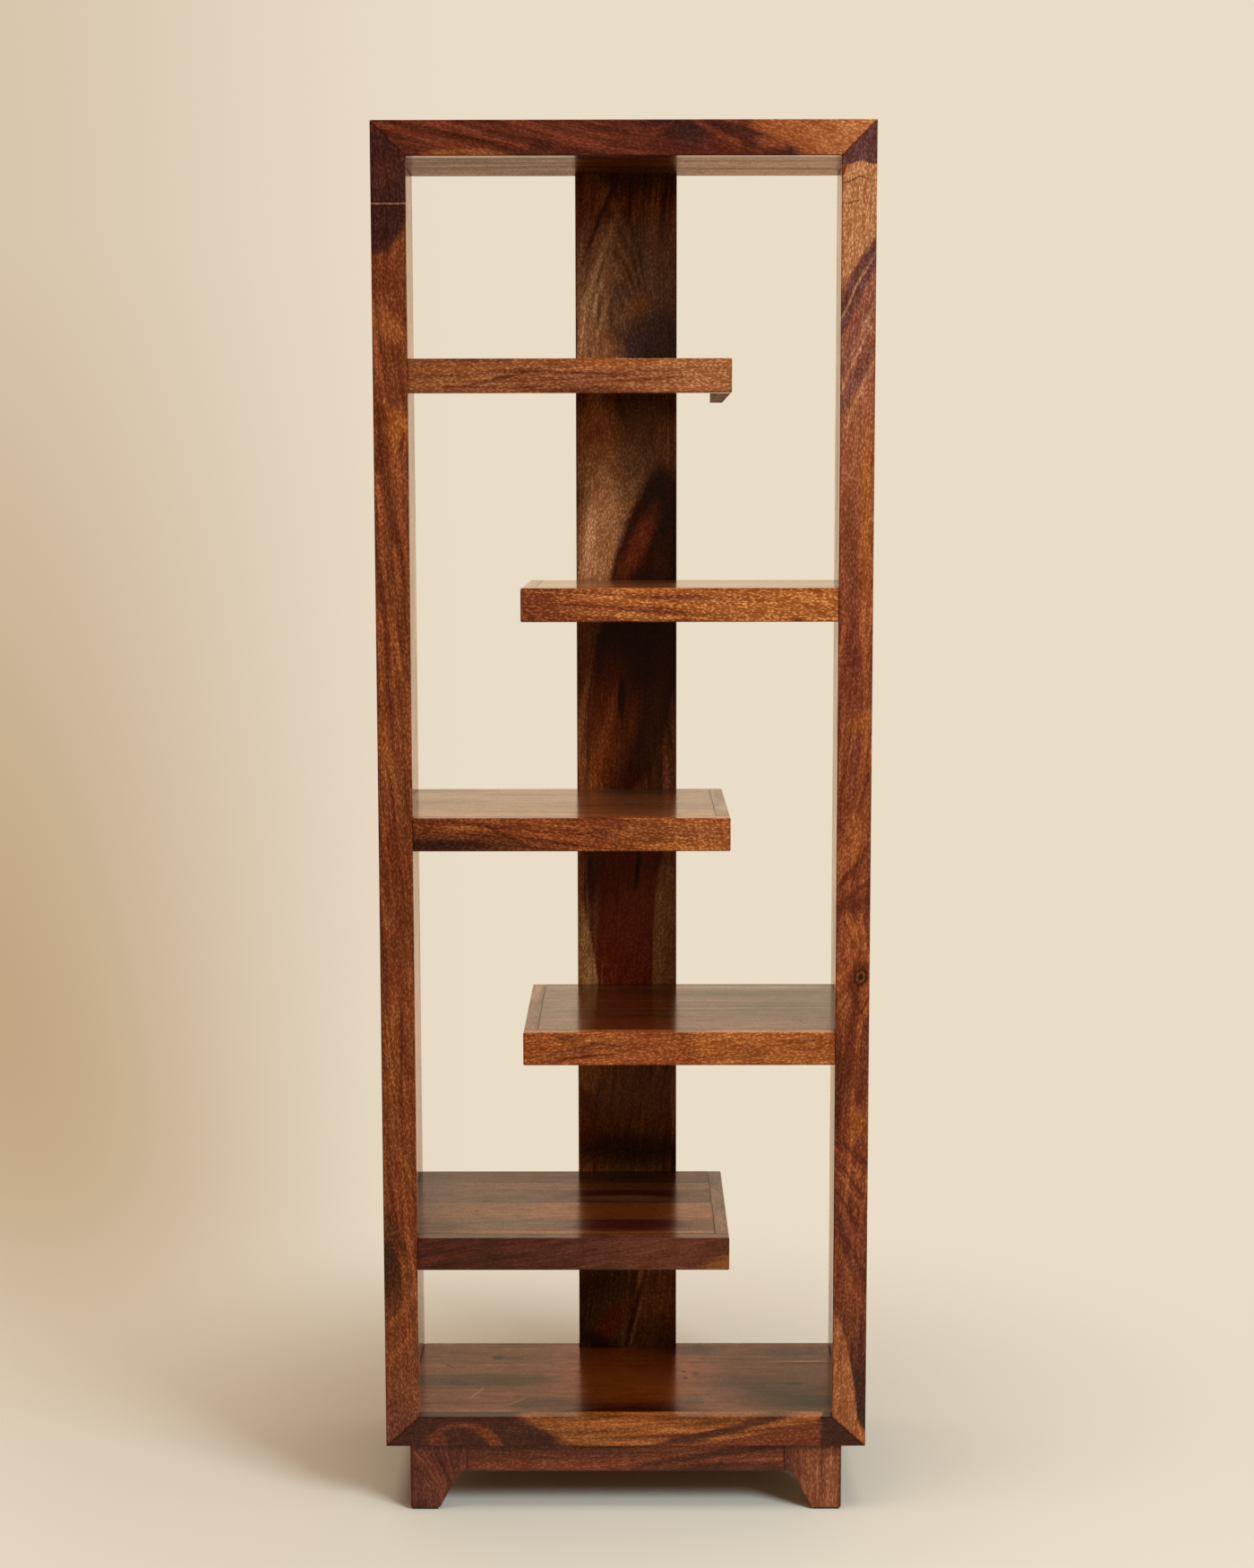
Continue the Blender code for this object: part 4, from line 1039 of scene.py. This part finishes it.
# %% Base
board("front_apron", "+x", "-z", 60, ("#8F4929", "#723921", "#542A17"), -3, (
    Patch(0, 20, 70, 60, 0, "#63331F", 0.75, 0.7, 16),
    # Painted shadow: a dark strip along the apron's top edge, under the overhang of the bottom rail
    Patch(130, 8, 150, 9, 0, "#572E19", 0.8, 0.6),
    Patch(150, 30, 130, 8, 0, "#874329", 0.6, 0.7),
    Patch(340, 14, 110, 5, -8, "#4C2615", 0.85, 0.5),
    Patch(330, 36, 60, 7, -6, "#48251B", 0.8, 0.5),
    Patch(400, 34, 40, 10, 0, "#5B2C1E", 0.9, 0.4),
))
board("front_left_foot_face", "-z", "-x", 61, ("#854730", "#693624", "#4C261C"), 12, (
    Patch(88, 60, 46, 40, 0, "#693824", 0.7, 0.3, 62),
    Patch(92, 62, 12, 10, 0, "#4E281D", 0.9, 0.4),
    Patch(12, 20, 22, 30, 0, "#54291D", 0.5, 0.7),
))
board("front_right_foot_face", "-z", "-x", 62, ("#A56540", "#8B502F", "#6E3B27"), 0, (
    Patch(24, 84, 60, 30, 0, "#562B20", 0.85, 0.7),
    Patch(4, 30, 12, 26, 0, "#64361F", 0.6, 0.7),
))
for name, along, across, log in (
        ("left_apron", "-y", "-z", 63), ("right_apron", "+y", "-z", 64), ("back_apron", "-x", "-z", 65)):
    board(name, along, across, log, ("#7E4426", "#62301E", "#482318"), -2, (
        Patch(120, 24, 90, 12, -6, HEART, 0.7, 0.4, 8),))
for log, (name, across) in enumerate((
        ("front_left_foot_return", "+y"), ("front_right_foot_return", "-y"), ("back_left_foot_return", "+y"),
        ("back_right_foot_return", "-y"), ("back_left_foot_face", "+x"), ("back_right_foot_face", "+x")), 66):
    tones = ("#8A4C28", "#6C3820", "#4C2619") if log % 2 else ("#744026", "#5A2D1E", "#40211A")
    board(name, "-z", across, log, tones, 3)

# %% [markdown]
# ## Beech, steel and felt
#
# The parts that hardly anybody sees are made of plain stuff. Splines and glue blocks are bare planed beech:
# pale and dull, with the small brown rays that mark beech. Beech, steel and felt all measure their patterns
# in millimetres of the room, because no board's ruler is needed on pieces so small.

# %% Beech
BEECH_GRAIN = (3.0, 3.0, 60.0)
BEECH_RAY, RAY_RIM = (1.0, 1.0, 3.0), (0.7, 0.9)


def room_millimetres(tree):
    """The place in the room in millimetres."""
    place = add(tree, "TexCoord").outputs["Object"]
    return add(tree, "VectorMath", {0: place, "Scale": 1 / MILLIMETRE}, operation="SCALE").outputs[0]


beech, tree, output = new_material("bare_planed_beech")
place = room_millimetres(tree)
grain = patterned(tree, place, BEECH_GRAIN, 3.0, 0.0, 1.0)
ray = patterned(tree, place, BEECH_RAY, 1.0, 0.0, 1.0)
ray = add(tree, "MapRange", {"Value": ray, "From Min": RAY_RIM[0], "From Max": RAY_RIM[1],
                             "To Min": 0.0, "To Max": 0.6}).outputs[0]
colour = add(tree, "Mix", {0: grain, MIX_A: linear("#D4B083"), MIX_B: linear("#C49A68")}, data_type="RGBA")
colour = add(tree, "Mix", {0: ray, MIX_A: colour.outputs[MIX_RESULT], MIX_B: linear("#8E6238")},
             data_type="RGBA")
bump = add(tree, "Bump", {"Height": grain, "Distance": PORE_DEPTH, "Strength": 0.3})
surface = add(tree, "BsdfPrincipled", {"Base Color": colour.outputs[MIX_RESULT], "Roughness": 0.62,
                                       "Normal": bump.outputs[0]})
tree.links.new(surface.outputs[0], output.inputs[0])
print("beech:", len(tree.nodes), "nodes")

# %% [markdown]
# The screws are zinc plated: a grey metal with a faint cloudy brightness from the plating bath, duller in
# some places than in others.

# %% Zinc-plated steel
ZINC_CLOUD = (1.2, 1.2, 1.2)
ZINC_ROUGHNESS = (0.28, 0.44)

zinc, tree, output = new_material("zinc_plated_steel")
cloud = patterned(tree, room_millimetres(tree), ZINC_CLOUD, 3.0, 0.0, 1.0)
colour = add(tree, "Mix", {0: cloud, MIX_A: linear("#A9A8A2"), MIX_B: linear("#C6C5BD")}, data_type="RGBA")
rough = add(tree, "MapRange", {"Value": cloud, "To Min": ZINC_ROUGHNESS[0], "To Max": ZINC_ROUGHNESS[1]})
surface = add(tree, "BsdfPrincipled", {"Base Color": colour.outputs[MIX_RESULT], "Metallic": 1.0,
                                       "Roughness": rough.outputs[0]})
tree.links.new(surface.outputs[0], output.inputs[0])
print("zinc:", len(tree.nodes), "nodes")

# %% [markdown]
# The glides are pressed felt, dark brown. Felt has no gloss, and its loose fibres catch a little light at the
# rim, which is what sheen is for.

# %% Felt
FELT_FIBRE = (0.5, 2.0, 0.5)
FELT_DEPTH = 0.0004

felt, tree, output = new_material("dark_pressed_felt")
fibre = patterned(tree, room_millimetres(tree), FELT_FIBRE, 3.0, 0.0, 1.0)
colour = add(tree, "Mix", {0: fibre, MIX_A: linear("#2A1D17"), MIX_B: linear("#4A362A")}, data_type="RGBA")
bump = add(tree, "Bump", {"Height": fibre, "Distance": FELT_DEPTH, "Strength": 0.6})
surface = add(tree, "BsdfPrincipled", {
    "Base Color": colour.outputs[MIX_RESULT], "Roughness": 0.95, "Normal": bump.outputs[0],
    "Sheen Weight": 0.3, "Sheen Roughness": 0.5})
tree.links.new(surface.outputs[0], output.inputs[0])
print("felt:", len(tree.nodes), "nodes")

# %% [markdown]
# The names of the solids say which of the three each small piece is made of.

# %% Dressing the small pieces
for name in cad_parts:
    if name.startswith(("frame_spline", "glue_block")):
        dress(name, beech)
    elif "_screw_" in name:
        dress(name, zinc)
    elif name.startswith("foot_glide"):
        dress(name, felt)
plain = [name for name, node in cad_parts.items() if node.material_slots[0].link != "OBJECT"]
print("pieces without a finish:", len(plain))
